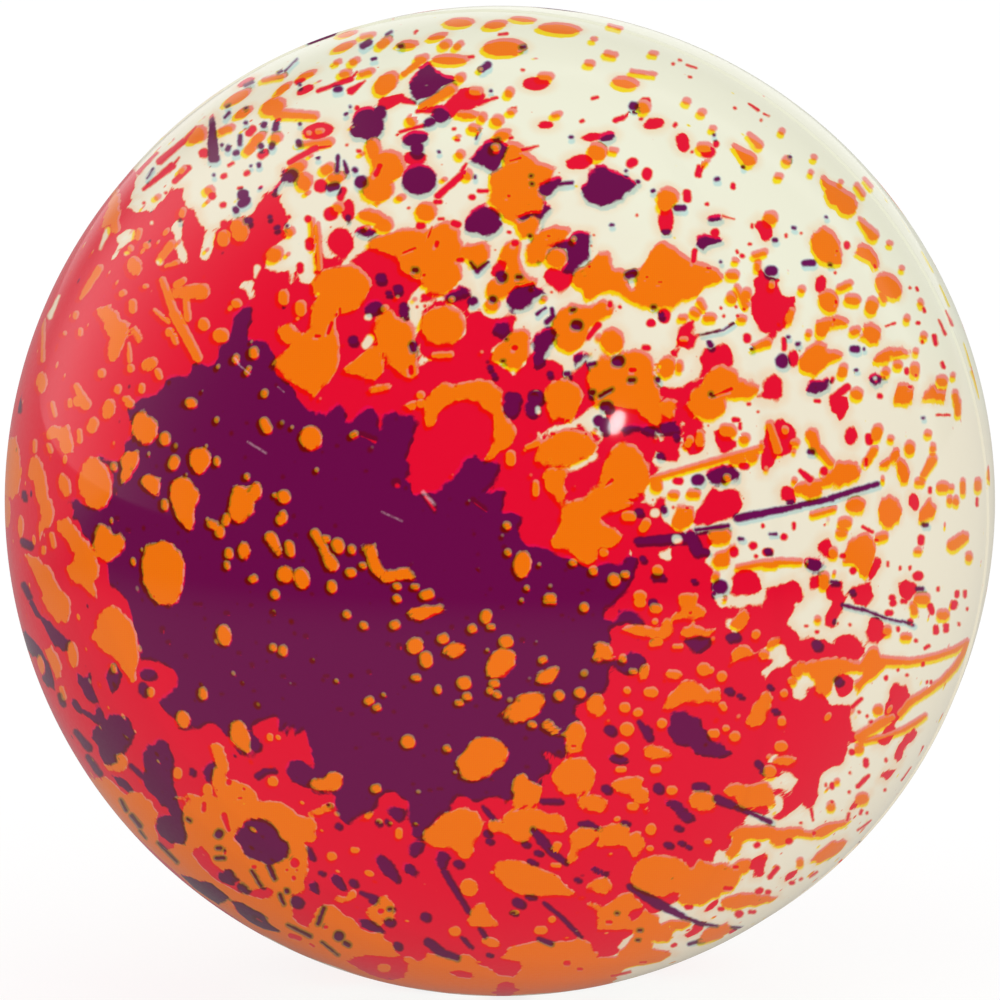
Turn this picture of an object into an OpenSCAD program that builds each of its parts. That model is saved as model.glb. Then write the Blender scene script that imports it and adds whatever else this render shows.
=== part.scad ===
// Gas-filled bouncy ball: a clear skin over a printed film over a rubber core, all made in two halves.
// The origin is the centre of the ball and +Z is up. The mould axis lies along Y, so the two halves
// meet in the XZ plane: the front half is on the -Y side and the rear half, with the valve, on the +Y side.
// The pieces are drawn along a local Z axis, which along_mould_axis() lays onto +Y.

/* [Ball] */
// Outside diameter of the ball over the clear skin
ball_d = 100; // [80:1:120]

/* [Clear skin] */
// Thickness of the clear skin
skin_t = 1.6; // [1.4:0.1:3]
// Thickness of the tongue that the front skin laps under the rear skin
tongue_t = 0.7; // [0.5:0.05:0.9]
// Length of the tongue past the parting plane
tongue_len = 1.4; // [1:0.1:4]

/* [Seam bead] */
// Radius of the bead's round top
bead_r = 0.9; // [0.6:0.05:1.3]
// Height of the bead over the skin
bead_h = 0.35; // [0.1:0.05:0.55]

/* [Printed film] */
// Thickness of the printed film
film_t = 0.2; // [0.1:0.05:0.5]
// Gap between the edges of the two film halves
film_edge_gap = 0.3; // [0.1:0.05:1]

/* [Core] */
// Thickness of the rubber core
core_t = 2.2; // [1.6:0.1:5]
// Thickness of the front core's lap, which the rear core's lap goes round
core_lap_t = 1.1; // [0.7:0.05:1.3]
// Length of the lap past the parting plane
core_lap_len = 3; // [2:0.5:8]

/* [Valve] */
// Diameter of the boss inside the rear core
boss_d = 14; // [11:0.5:24]
// Height of the boss over the core's inner face, at its middle
boss_h = 4; // [2.5:0.5:8]
// Width of the bevel round the boss's inner face
boss_bevel = 1; // [0.5:0.25:1.5]
// Diameter of the plug's head, flush with the skin
head_d = 6; // [5:0.25:8]
// Depth of the seat in the core under the plug's head
seat_depth = 0.5; // [0.3:0.05:1]
// Diameter of the plug's stem
stem_d = 4; // [2.5:0.25:4.5]
// Diameter of the plug's foot, which holds it behind the boss
foot_d = 6.4; // [5.5:0.25:8]
// Height of the plug's foot
foot_h = 1.6; // [1:0.1:4]
// Diameter of the channel for an inflating needle, which stretches it
needle_d = 1.2; // [0.8:0.1:1.6]
// Thickness of rubber that closes the inner end of the channel
closed_end_t = 3; // [2:0.25:5]

/* [Clearances] */
// Gap between one layer of the ball and the next
layer_gap = 0.02; // [0.01:0.01:0.05]
// Gap at the laps, round the bead and round the plug, which the bond fills
bond_gap = 0.04; // [0.02:0.01:0.08]

/* [Hidden] */
$fn = 180;

// Radii of the layers, from the outside in
skin_r = ball_d / 2;
skin_in_r = skin_r - skin_t;
film_r = skin_in_r - layer_gap;
film_in_r = film_r - film_t;
core_r = film_in_r - layer_gap;
core_in_r = core_r - core_t;

// The tongue and the lap are the inner parts of their walls, and end at these radii
tongue_r = skin_in_r + tongue_t;
core_lap_r = core_in_r + core_lap_t;

// The bead's section is a circle, cut off at a floor just over the tongue
bead_centre_r = skin_r + bead_h - bead_r;
bead_floor_r = tongue_r + bond_gap;

// Places along the mould axis for the valve
seat_z = core_r - seat_depth;
boss_z = core_in_r - boss_h;
boss_root_z = core_in_r + core_t / 4;
foot_z = boss_z - bond_gap - foot_h;

// Reach of every cut past what it cuts
overrun = skin_r;

clear_tint = [0.93, 0.95, 0.88, 0.3];
bead_tint = [0.90, 0.91, 0.83];
front_print_tint = [0.85, 0.12, 0.22];
rear_print_tint = [0.92, 0.45, 0.10];
core_tint = [0.86, 0.86, 0.80];
plug_tint = [0.80, 0.79, 0.72];

// Lays a piece drawn along local Z onto the mould axis, with local +Z on +Y
module along_mould_axis() {
  rotate([-90, 0, 0])
    children();
}

// All space between two heights, as wide as the ball and its bead
module slab(low, high) {
  translate([0, 0, low])
    cylinder(r = skin_r + overrun, h = high - low);
}

module in_front_of(height) {
  slab(-overrun - skin_r, height);
}

module behind(height) {
  slab(height, overrun + skin_r);
}

module hollow_ball(outer_r, inner_r) {
  difference() {
    sphere(r = outer_r);
    sphere(r = inner_r);
  }
}

// Front half of a hollow ball, with the part of its wall inside lap_r going on past the plane as a lap
module front_half(outer_r, inner_r, lap_r, lap_len) {
  difference() {
    hollow_ball(outer_r, inner_r);
    difference() {
      behind(0);
      sphere(r = lap_r);
    }
    behind(lap_len);
  }
}

// Rear half of a hollow ball, rebated for the lap of the front half
module rear_half(outer_r, inner_r, lap_r, lap_len) {
  difference() {
    hollow_ball(outer_r, inner_r);
    in_front_of(bond_gap);
    intersection() {
      sphere(r = lap_r + bond_gap);
      in_front_of(lap_len + bond_gap);
    }
  }
}

// Section of the bead, made larger by grow for the groove that holds it
module bead_section(grow) {
  difference() {
    translate([bead_centre_r, 0])
      circle(r = bead_r + grow);
    circle(r = bead_floor_r - grow / 2);
  }
}

module bead_ring(grow) {
  rotate_extrude()
    bead_section(grow);
}

// Round hole along the mould axis, from a height outwards
module hole_from(height, hole_d) {
  translate([0, 0, height])
    cylinder(d = hole_d + 2 * bond_gap, h = overrun);
}

module front_skin() {
  color(clear_tint)
    along_mould_axis()
      difference() {
        front_half(skin_r, skin_in_r, tongue_r, tongue_len);
        bead_ring(bond_gap);
      }
}

module rear_skin() {
  color(clear_tint)
    along_mould_axis()
      difference() {
        rear_half(skin_r, skin_in_r, tongue_r, tongue_len);
        bead_ring(bond_gap);
        hole_from(0, head_d);
      }
}

module seam_bead() {
  color(bead_tint)
    along_mould_axis()
      bead_ring(0);
}

module front_print_film() {
  color(front_print_tint)
    along_mould_axis()
      difference() {
        hollow_ball(film_r, film_in_r);
        behind(-film_edge_gap / 2);
      }
}

module rear_print_film() {
  color(rear_print_tint)
    along_mould_axis()
      difference() {
        hollow_ball(film_r, film_in_r);
        in_front_of(film_edge_gap / 2);
        hole_from(0, head_d);
      }
}

module front_core() {
  color(core_tint)
    along_mould_axis()
      front_half(core_r, core_in_r, core_lap_r, core_lap_len);
}

// Boss that carries the valve plug, with a bevelled inner face and its root in the core's wall
module valve_boss() {
  translate([0, 0, boss_z])
    cylinder(d1 = boss_d - 2 * boss_bevel, d2 = boss_d, h = boss_bevel);
  translate([0, 0, boss_z + boss_bevel])
    cylinder(d = boss_d, h = boss_root_z - boss_z - boss_bevel);
}

module rear_core() {
  color(core_tint)
    along_mould_axis()
      difference() {
        union() {
          rear_half(core_r, core_in_r, core_lap_r, core_lap_len);
          valve_boss();
        }
        hole_from(seat_z, head_d);
        hole_from(0, stem_d);
      }
}

// Gum rubber plug: a head flush with the skin, a stem through the boss and a foot behind it
module valve_plug() {
  color(plug_tint)
    along_mould_axis()
      difference() {
        intersection() {
          sphere(r = skin_r);
          union() {
            translate([0, 0, seat_z + bond_gap])
              cylinder(d = head_d, h = overrun);
            translate([0, 0, foot_z])
              cylinder(d = stem_d, h = overrun);
            translate([0, 0, foot_z])
              cylinder(d1 = stem_d, d2 = foot_d, h = foot_h / 2);
            translate([0, 0, foot_z + foot_h / 2])
              cylinder(d = foot_d, h = foot_h / 2);
          }
        }
        translate([0, 0, foot_z + closed_end_t])
          cylinder(d = needle_d, h = overrun);
      }
}

front_skin();
rear_skin();
seam_bead();
front_print_film();
rear_print_film();
front_core();
rear_core();
valve_plug();
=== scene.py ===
# Bouncy ball with a clear skin over a paint-splatter print, in two halves with a raised bead between them.
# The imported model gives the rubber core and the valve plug. The skin with its printed film and the bead are
# made here, and their meshes carry the print: signed distances in mm to its drops, runs and masses.
import math
import bpy
import numpy as np
from mathutils import Matrix


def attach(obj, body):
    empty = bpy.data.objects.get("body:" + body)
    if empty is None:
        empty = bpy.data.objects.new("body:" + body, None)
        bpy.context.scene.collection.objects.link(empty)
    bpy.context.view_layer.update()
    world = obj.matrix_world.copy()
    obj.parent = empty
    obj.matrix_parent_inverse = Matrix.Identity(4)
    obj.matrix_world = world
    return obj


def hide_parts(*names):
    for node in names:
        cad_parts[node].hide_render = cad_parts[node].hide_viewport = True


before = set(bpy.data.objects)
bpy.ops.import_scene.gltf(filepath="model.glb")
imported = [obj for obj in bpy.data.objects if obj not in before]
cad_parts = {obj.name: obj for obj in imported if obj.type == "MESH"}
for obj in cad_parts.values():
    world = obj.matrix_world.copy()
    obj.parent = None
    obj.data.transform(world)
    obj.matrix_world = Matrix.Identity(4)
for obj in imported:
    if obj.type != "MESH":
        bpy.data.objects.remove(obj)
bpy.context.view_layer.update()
print("frame loaded with nodes:", ", ".join(sorted(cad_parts)))

millimetre = 0.001
tenth = 0.1

# The front view of the ball, in which its print is drawn, in mm at the middle of the ball
look = {
    "azimuth": 12.0,        # degrees round +Z, where 0 looks along +Y
    "elevation": 10.6,      # degrees above the floor
    "distance": 1200.0,     # mm from the ball's centre
    "limbRadius": 49.52,    # mm, radius of the ball's outline in the view
    "centre": (-0.015, -0.09),
    "halfWidth": 50.0,      # half the picture's width
    "sensor": 36.0,         # mm
}


def viewAxes():
    around = math.radians(look["azimuth"])
    above = math.radians(look["elevation"])
    level = math.cos(above)
    toCamera = np.array([math.sin(around) * level, -math.cos(around) * level, math.sin(above)])
    right = np.array([math.cos(around), math.sin(around), 0.0])
    return toCamera, right, np.cross(toCamera, right)


toCamera, viewRight, viewUp = viewAxes()

ball = {
    "radius": 50.0,          # mm over the clear skin
    "innerRadius": 48.24,    # inside of the printed film
    "gridCells": 300,        # cells across one half of the print
    "innerCells": 60,        # cells across its inside
    "grooveCentre": 49.27,   # radius on which the bead's section is centred
    "grooveRadius": 0.94,    # radius of the groove's section
    "grooveLeans": (72, 90),     # degrees round that section at which the shell's two rings lie
    "holeRadius": 3.04,      # hole for the valve plug, in the rear half
    "holeRings": 6,
    "innerHoleRings": 1,
}

bead = {
    "radius": 0.9,           # mm, section of the bead
    "floor": 48.96,          # radius of the bead's foot
    "around": 900,           # steps round the ball
    "across": 12,            # steps over the section
}

# Where the other plates landed from the magenta one: mm to the right and up at the view's middle,
# then how much each of the two grows for every mm to the right and every mm up
plates = {
    "magenta": ((0.0, 0.0, 0.0), (0.0, 0.0, 0.0)),
    "yellow": ((-0.17, 0.0025, -0.0030), (-0.28, -0.0028, -0.0025)),
    "cyan": ((0.14, 0.0, -0.0025), (-0.28, 0.0, -0.0038)),
}

splatter = {
    "seed": 41,
    "raggedness": 0.26,      # mm that the edges of the masses wander
    "raggedWaves": ((2.6, 0.65), (1.1, 0.35)),      # lengths in mm and shares of that
    "dropRagged": 0.25,      # share of it for a drop
    "roughWaves": ((9.0, 2.2), (3.6, 0.9)),         # lengths and heights in mm, for what lies past the view
    "smallestDrop": 0.25,    # mm, least half width of a drop
    "thinnestRun": 0.2,      # the same for a run,
    "smallestMark": 0.175,   # for a drop that is a small mark
    "thinnestMark": 0.125,   # and for a run that is one
    "smallDrop": 1.7,        # drops up to this length and runs up to this width are small marks, in mm
    "smallStreak": 1.1,
    "reach": 1.5,            # mm to each side of an edge that the distances hold
    "margin": 2.0,           # mm round a mass or run in the view in which its distance is taken
    "dropMargin": 1.3,       # mm round a drop
    "markReach": 1.2,        # mm past a small mark's edge to the faces that know it
    "markMargin": 1.7,       # mm round a small mark in which faces are looked at
    "marksPast": 0.05,       # radians past the outline to the last faces that know marks
    "pastOutline": 0.3,      # radians past the outline to which the view's masses reach
    "pastRough": 1.6,        # how much the rough waves move that end
    "turnsUntil": 0.15,      # depth in radii up to which a plate's shift turns round the ball,
    "turnsOver": 0.2,        # and over which it then goes flat
}

red = "red"
purple = "purple"
orange = "orange"
cream = "cream"

# The print was drawn from the view. All places and widths are in tenths of a mm, to the right and up
# from the view's middle.

# Masses of ink: the ink, then x and y of each corner, laid one over the other in this order
masses = (
    (red, -530,-120, -530,180, -470,260, -410,305, -380,335, -370,336, -363,325, -369,304, -354,292,
     -338,298, -328,312, -316,312, -316,294, -304,286, -296,270, -284,270, -268,280, -250,284,
     -234,308, -220,304, -216,288, -200,270, -180,264, -170,244, -148,244, -140,254, -124,256,
     -100,244, -60,220, -40,140, -60,60, -120,40, -200,-40, -320,-120),
    (red, -110,80, -100,126, -83,124, -82,136, -66,141, -76,148, -75,156, -60,154, -36,164, -35,184,
     -46,194, -60,200, -54,206, -34,208, -24,202, -34,190, -30,184, -20,188, -12,183, 14,184, 14,172,
     8,162, -6,152, -8,140, 4,132, 14,124, 24,136, 30,148, 40,136, 52,142, 62,136, 64,124, 80,132,
     86,138, 90,124, 80,112, 86,80),
    (red, 100,-90, 212,-90, 214,-98, 217,-105, 223,-108, 232,-106, 238,-108, 244,-105, 250,-104, 256,-108,
     262,-108, 267,-104, 268,-94, 292,-94, 295,-108, 290,-118, 289,-122, 294,-126, 298,-135, 302,-139,
     310,-137, 315,-142, 325,-140, 333,-143, 335,-137, 343,-133, 352,-134, 360,-141, 366,-147,
     366,-156, 358,-162, 340,-172, 320,-172, 300,-172, 293,-180, 294,-197, 298,-198, 302,-189,
     307,-188, 315,-189, 322,-193, 326,-197, 330,-202, 333,-205, 343,-205, 350,-204, 353,-208,
     352,-213, 352,-223, 353,-230, 358,-233, 360,-238, 357,-243, 348,-244, 347,-250, 345,-257,
     343,-265, 333,-267, 323,-273, 319,-280, 318,-288, 317,-300, 312,-309, 306,-308, 301,-304,
     296,-309, 290,-312, 284,-318, 276,-322, 272,-317, 278,-313, 283,-308, 282,-300, 278,-296,
     271,-298, 269,-305, 268,-312, 262,-316, 253,-313, 250,-306, 250,-313, 244,-318, 245,-325,
     238,-327, 232,-332, 232,-342, 227,-352, 218,-350, 215,-358, 212,-366, 205,-380, 190,-395,
     176,-402, 160,-411, 150,-416, 135,-424, 133,-434, 122,-440, 120,-450, 118,-455, 98,-458, 90,-466,
     86,-488, 50,-493, 0,-496, -50,-493, -100,-486, -150,-472, -200,-454, -250,-428, -300,-394,
     -340,-356, -360,-330, -360,-200, -300,-150, -100,-60, 60,-60),
    (red, -530,-120, -530,100, -400,60, -300,100, -100,110, 80,120, 200,110, 190,60, 150,20, 130,-60,
     100,-160, 60,-280, 0,-380, -120,-420, -260,-440, -420,-320),
    (red, 130,-60, 126,-10, 122,2, 136,2, 146,-2, 152,-4, 158,2, 164,7, 166,2, 164,-8, 162,-16, 168,-24,
     176,-32, 190,-36, 206,-30, 214,-34, 210,-50, 208,-62, 214,-70, 212,-80, 216,-98, 214,-110,
     200,-140, 120,-140, 100,-100),
    (orange, -400,-300, -396,-292, -380,-296, -366,-296, -350,-300, -312,-296, -300,-296, -290,-292,
     -284,-298, -262,-302, -240,-300, -227,-302, -217,-303, -208,-308, -202,-313, -193,-318, -187,-318,
     -183,-323, -182,-327, -187,-332, -183,-335, -187,-340, -192,-340, -198,-342, -193,-348, -193,-358,
     -193,-370, -195,-380, -198,-390, -207,-395, -210,-400, -208,-408, -207,-417, -200,-425, -192,-427,
     -190,-423, -185,-417, -182,-408, -177,-404, -168,-405, -162,-410, -155,-415, -148,-419, -143,-425,
     -138,-429, -130,-432, -120,-433, -118,-438, -110,-443, -104,-452, -98,-457, -90,-457, -82,-462,
     -75,-459, -72,-453, -63,-454, -53,-458, -43,-457, -37,-454, -32,-455, -27,-460, -22,-465,
     -13,-467, -7,-470, -2,-475, 5,-476, 14,-477, 20,-472, 22,-465, 20,-461, 10,-459, 0,-457, 8,-453,
     10,-448, 17,-446, 23,-443, 32,-441, 38,-441, 43,-444, 50,-446, 53,-442, 62,-441, 72,-440, 78,-437,
     87,-440, 93,-447, 98,-453, 94,-460, 98,-458, 120,-456, 140,-458, 165,-452, 172,-455, 160,-461,
     140,-465, 125,-468, 118,-474, 112,-482, 104,-486, 60,-492, 0,-496, -50,-493, -100,-486, -150,-472,
     -200,-454, -250,-428, -300,-394, -340,-358, -370,-330),
    (purple, -366,102, -342,108, -334,122, -326,127, -312,126, -306,139, -290,136, -284,142, -282,156,
     -272,164, -269,176, -268,186, -259,194, -250,195, -250,184, -254,174, -252,164, -243,162,
     -232,158, -228,150, -226,139, -229,132, -219,123, -210,116, -204,108, -200,100, -194,92, -186,88,
     -174,85, -170,92, -164,98, -159,96, -154,86, -156,82, -152,79, -146,82, -141,88, -134,93, -129,92,
     -124,84, -122,72, -119,71, -118,78, -116,86, -108,90, -102,88, -96,86, -90,86, -84,80, -86,68,
     -92,60, -94,50, -95,42, -92,34, -94,28, -98,22, -92,20, -90,12, -88,6, -82,8, -76,11, -68,10,
     -60,14, -54,20, -46,24, -42,30, -38,38, -32,44, -26,46, -18,43, -10,40, -3,38, -6,30, -8,22,
     -14,14, -20,8, -12,9, 2,12, 5,8, 1,0, -1,-12, 6,-11, 12,-9, 21,-14, 18,-20, 14,-26, 15,-33,
     20,-39, 24,-46, 34,-44, 46,-46, 54,-52, 60,-56, 68,-56, 76,-62, 82,-65, 90,-68, 100,-61, 110,-63,
     120,-64, 124,-56, 130,-52, 136,-58, 134,-66, 133,-76, 128,-86, 120,-94, 114,-102, 106,-110,
     108,-140, 106,-170, 106,-186, 100,-193, 90,-194, 80,-200, 74,-203, 73,-212, 79,-219, 66,-228,
     62,-236, 64,-246, 66,-254, 58,-256, 50,-252, 42,-249, 38,-252, 44,-258, 48,-264, 48,-272, 42,-274,
     37,-278, 44,-283, 30,-290, 12,-298, 4,-302, 2,-297, -4,-294, -14,-295, -22,-301, -27,-301,
     -30,-297, -38,-294, -45,-293, -50,-298, -52,-303, -52,-309, -57,-310, -62,-315, -68,-322,
     -75,-327, -78,-337, -85,-338, -90,-335, -90,-327, -93,-320, -92,-310, -94,-300, -102,-294,
     -108,-292, -116,-291, -124,-297, -126,-300, -127,-307, -132,-312, -140,-315, -147,-318, -155,-322,
     -162,-315, -163,-307, -167,-300, -166,-294, -184,-292, -194,-286, -203,-282, -210,-279, -214,-274,
     -214,-268, -210,-262, -204,-260, -198,-260, -194,-264, -190,-269, -186,-264, -188,-258, -191,-250,
     -193,-242, -194,-234, -197,-227, -202,-229, -207,-234, -206,-223, -216,-231, -213,-220, -220,-228,
     -222,-216, -228,-214, -234,-216, -240,-219, -246,-223, -249,-229, -248,-235, -242,-238, -241,-244,
     -244,-249, -248,-255, -254,-255, -262,-252, -266,-246, -269,-238, -274,-234, -280,-229, -284,-223,
     -292,-222, -300,-225, -310,-226, -316,-229, -324,-226, -325,-220, -330,-215, -336,-208, -342,-200,
     -332,-192, -326,-184, -323,-176, -326,-170, -332,-166, -340,-161, -350,-158, -360,-158, -361,-144,
     -374,-99, -382,-89, -390,-82, -392,-74, -394,-62, -404,-48, -412,-38, -419,-30, -422,-20,
     -428,-14, -426,-6, -433,0, -426,2, -410,-6, -396,6, -386,20, -390,34, -402,46, -392,43, -380,43,
     -377,50, -376,58, -370,64, -368,76, -372,84, -374,94),
    (orange, -418,36, -410,42, -402,41, -393,32, -389,18, -389,2, -394,-6, -402,-10, -412,-4, -420,6,
     -422,20),
    (orange, -368,74, -363,86, -356,89, -348,84, -343,75, -344,65, -350,59, -358,58, -366,64),
    (orange, -380,42, -374,48, -362,48, -360,42, -364,32, -370,25, -378,18, -380,22, -377,32),
    (orange, -359,20, -356,25, -348,25, -341,20, -340,12, -342,5, -348,8, -354,12),
    (orange, -330,14, -326,22, -318,25, -310,21, -306,13, -301,5, -304,-4, -306,-16, -308,-26, -312,-29,
     -319,-22, -326,-10, -330,2),
    (orange, -358,-60, -354,-48, -346,-41, -338,-39, -328,-44, -320,-52, -316,-62, -316,-76, -318,-90,
     -324,-100, -334,-106, -342,-104, -350,-94, -356,-80),
    (orange, -406,-38, -404,-28, -397,-23, -391,-28, -387,-35, -380,-34, -375,-40, -377,-48, -382,-54,
     -389,-60, -394,-62, -400,-56, -405,-48),
    (orange, -310,46, -306,53, -297,53, -290,46, -289,38, -294,30, -299,24, -304,28, -309,36),
    (orange, -457,66, -452,72, -444,74, -438,73, -432,75, -429,66, -425,56, -427,48, -434,47, -440,54,
     -444,62, -450,63),
    (orange, -473,24, -469,40, -463,47, -459,37, -455,30, -453,16, -451,2, -447,-4, -446,-16, -450,-26,
     -456,-32, -460,-42, -461,-30, -458,-16, -460,-4, -465,10, -466,20),
    (orange, -500,8, -502,36, -500,60, -484,62, -480,44, -479,22, -482,6, -488,2),
    (orange, -476,-54, -462,-58, -452,-66, -444,-80, -436,-94, -430,-104, -446,-108, -456,-96, -464,-78,
     -470,-64),
    (orange, -442,-22, -432,-19, -424,-25, -419,-34, -412,-42, -408,-52, -404,-60, -400,-66, -401,-76,
     -406,-80, -402,-92, -402,-102, -408,-96, -414,-88, -424,-83, -429,-76, -432,-68, -425,-62,
     -424,-54, -430,-46, -436,-36, -442,-28),
    (orange, -270,4, -266,12, -260,15, -254,12, -249,4, -246,-4, -248,-12, -254,-19, -262,-26, -267,-20,
     -270,-9),
    (orange, -139,-47, -134,-45, -125,-45, -122,-54, -119,-64, -115,-70, -108,-69, -100,-66, -92,-66,
     -88,-72, -86,-78, -94,-80, -104,-80, -114,-80, -122,-78, -128,-72, -130,-62, -133,-54),
    (orange, -94,95, -80,100, -72,106, -64,114, -54,118, -46,114, -34,120, -20,122, -8,116, 2,110, 2,96,
     4,86, 11,78, 16,70, 13,60, 7,50, 0,48, -8,42, -14,41, -10,50, -7,60, -5,74, -7,86, -15,90,
     -20,100, -30,102, -44,100, -52,94, -62,88, -67,78, -71,75, -73,86, -78,96, -88,92),
    (orange, 46,108, 48,92, 51,82, 62,82, 72,80, 78,90, 81,102, 78,116, 68,122, 54,120),
    (cream, 36,72, 42,68, 54,73, 70,78, 80,86, 94,94, 104,92, 103,62, 94,66, 82,72, 70,71, 58,68, 46,63,
     36,59),
    (orange, 36,40, 40,50, 39,60, 46,62, 56,67, 68,70, 80,71, 88,68, 92,62, 95,54, 90,46, 82,42, 72,38,
     62,36, 52,38, 42,37),
    (cream, 98,56, 92,46, 84,42, 74,37, 68,30, 66,25, 72,26, 80,32, 88,36, 98,40),
    (orange, 44,24, 48,30, 56,31, 64,33, 68,28, 65,18, 66,8, 63,-2, 59,-4, 55,4, 48,10, 45,18),
    (orange, 61,-6, 74,-1, 84,2, 92,8, 100,16, 103,28, 108,42, 114,52, 124,59, 134,55, 142,46, 148,32,
     149,18, 144,9, 132,4, 124,0, 134,-4, 122,-9, 108,-13, 98,-16, 104,-23, 114,-28, 122,-34, 118,-43,
     108,-46, 99,-49, 98,-58, 92,-65, 82,-61, 74,-54, 64,-49, 53,-46, 50,-39, 58,-32, 60,-22),
    (orange, 138,100, 142,86, 150,80, 160,76, 162,84, 159,96, 159,106, 142,108),
    (purple, 122,74, 126,79, 134,80, 146,76, 154,73, 156,68, 148,66, 136,69, 126,68),
    (purple, 160,76, 164,80, 174,79, 180,74, 177,69, 166,67, 161,69),
    (cream, 155,68, 160,66, 166,64, 164,60, 158,52, 156,44, 153,40, 156,32, 166,29, 178,32, 182,42,
     180,62, 184,70, 180,74, 184,78, 186,66, 184,50, 184,42, 200,40, 216,42, 228,46, 236,52, 240,62,
     250,72, 262,80, 262,60, 258,52, 240,46, 220,41, 200,34, 180,29, 160,24, 158,22, 152,20, 144,9,
     146,2, 158,4, 168,2, 172,-8, 172,-20, 178,-28, 188,-24, 194,-8, 206,2, 210,16, 204,26, 212,34,
     240,30, 262,28, 262,-4, 240,-10, 240,10, 222,10, 208,0, 196,-10),
    (red, 158,54, 162,62, 172,65, 180,60, 180,46, 178,38, 168,37, 162,42, 159,48),
    (red, 184,68, 188,82, 196,84, 202,78, 205,66, 206,52, 202,44, 192,43, 186,50, 184,58),
    (orange, 186,98, 194,86, 206,83, 218,84, 224,94, 222,104, 188,106),
    (red, 214,66, 220,70, 228,66, 234,60, 236,52, 230,46, 220,46, 217,54),
    (red, 266,78, 276,76, 282,80, 290,76, 298,68, 296,58, 292,48, 284,42, 276,46, 273,36, 268,29, 262,28,
     261,38, 265,48, 264,60, 265,70),
    (purple, 207,26, 212,33, 222,38, 232,36, 238,29, 239,22, 232,18, 222,14, 214,18, 209,22),
    (red, 194,-24, 195,-12, 202,-2, 208,6, 209,14, 214,13, 220,9, 232,11, 240,9, 242,0, 240,-12, 232,-18,
     220,-22, 206,-25),
    (orange, 173,-24, 178,-14, 180,-6, 186,-2, 192,-8, 194,-16, 188,-24, 180,-28),
    (cream, 158,-52, 166,-50, 172,-44, 172,-54, 174,-60, 168,-62, 162,-58),
    (orange, 209,-61, 216,-54, 226,-49, 235,-44, 228,-54, 226,-62, 220,-66),
    (red, 232,-78, 240,-71, 250,-69, 257,-76, 262,-84, 262,-90, 250,-96, 238,-98, 230,-94),
    (cream, 212,-81, 216,-72, 226,-71, 232,-74, 228,-80, 220,-78),
    (red, 266,-88, 276,-86, 286,-82, 294,-80, 302,-86, 302,-102, 272,-102, 266,-96),
    (red, 280,6, 282,14, 287,17, 293,12, 295,2, 294,-4, 286,-2, 281,0),
    (red, 328,96, 330,88, 336,85, 338,78, 342,76, 344,84, 348,92, 347,102, 332,104),
    (orange, 306,66, 310,71, 317,70, 319,62, 321,54, 318,49, 312,52, 309,58),
    (orange, 326,24, 334,32, 338,39, 348,41, 356,37, 360,29, 358,21, 350,17, 340,18, 330,21),
    (orange, 380,36, 385,42, 393,46, 398,52, 399,46, 394,40, 388,35),
    (orange, 396,38, 400,44, 405,39, 409,30, 407,21, 403,19, 399,28),
    (orange, 419,-12, 424,-2, 430,-1, 436,-8, 434,-16, 426,-20, 420,-18),
    (orange, 380,-9, 383,1, 389,4, 397,-1, 401,-10, 399,-20, 392,-26, 385,-25, 381,-18),
    (orange, 346,-52, 350,-44, 358,-37, 366,-34, 372,-39, 373,-50, 372,-62, 368,-72, 364,-76, 360,-68,
     354,-62, 344,-60),
    (red, 368,-76, 372,-66, 375,-58, 381,-59, 381,-66, 377,-74, 370,-80),
    (red, 315,-46, 318,-40, 328,-40, 332,-46, 333,-56, 328,-60, 322,-56, 318,-52),
    (purple, 303,-62, 308,-58, 318,-59, 325,-64, 320,-71, 312,-72, 306,-68),
    (red, 308,-76, 316,-74, 322,-78, 320,-86, 312,-93, 309,-88),
    (red, 326,-92, 332,-80, 342,-79, 342,-86, 342,-96, 334,-102, 328,-98),
    (red, 348,-92, 358,-84, 366,-81, 372,-88, 374,-98, 368,-104, 356,-102),
    (red, 398,-84, 406,-79, 414,-82, 419,-88, 414,-96, 408,-102, 402,-98),
    (red, -350,-298, -346,-308, -342,-313, -345,-325, -343,-337, -341,-345, -333,-350, -325,-346,
     -316,-344, -312,-335, -316,-325, -317,-310, -312,-303, -311,-298),
    (purple, -334,-306, -326,-304, -318,-312, -317,-322, -313,-334, -314,-342, -322,-343, -332,-340,
     -341,-335, -346,-326, -344,-317, -336,-314, -331,-314),
    (red, -309,-352, -304,-348, -298,-346, -292,-352, -284,-366, -262,-378, -258,-384, -250,-390,
     -238,-386, -230,-388, -226,-392, -230,-399, -238,-400, -246,-397, -262,-392, -284,-380,
     -298,-366),
    (purple, -320,-374, -304,-378, -290,-382, -280,-390, -272,-396, -273,-402, -282,-404, -292,-398,
     -306,-388),
    (purple, -263,-327, -258,-318, -250,-317, -243,-318, -238,-317, -233,-320, -228,-325, -223,-330,
     -220,-337, -213,-342, -210,-348, -213,-357, -218,-362, -227,-363, -232,-365, -238,-362, -245,-360,
     -253,-358, -258,-352, -262,-345, -267,-338),
    (purple, -283,-374, -277,-368, -270,-368, -264,-374, -263,-380, -268,-384, -276,-382, -282,-379),
    (purple, -270,-401, -260,-402, -250,-407, -238,-413, -233,-418, -230,-424, -222,-430, -226,-432,
     -238,-428, -250,-422, -262,-413),
    (orange, -164,-400, -160,-397, -154,-398, -150,-393, -146,-390, -143,-394, -146,-397, -153,-400,
     -160,-402),
    (orange, -133,-413, -130,-408, -125,-403, -122,-397, -115,-396, -110,-402, -106,-410, -107,-417,
     -112,-420, -117,-417, -118,-425, -123,-427, -130,-420),
    (purple, -143,-418, -136,-418, -128,-420, -122,-425, -118,-431, -124,-432, -132,-430, -139,-426),
    (purple, -126,-355, -121,-353, -116,-356, -110,-364, -105,-372, -102,-380, -104,-381, -110,-377,
     -117,-373, -123,-365),
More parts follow.
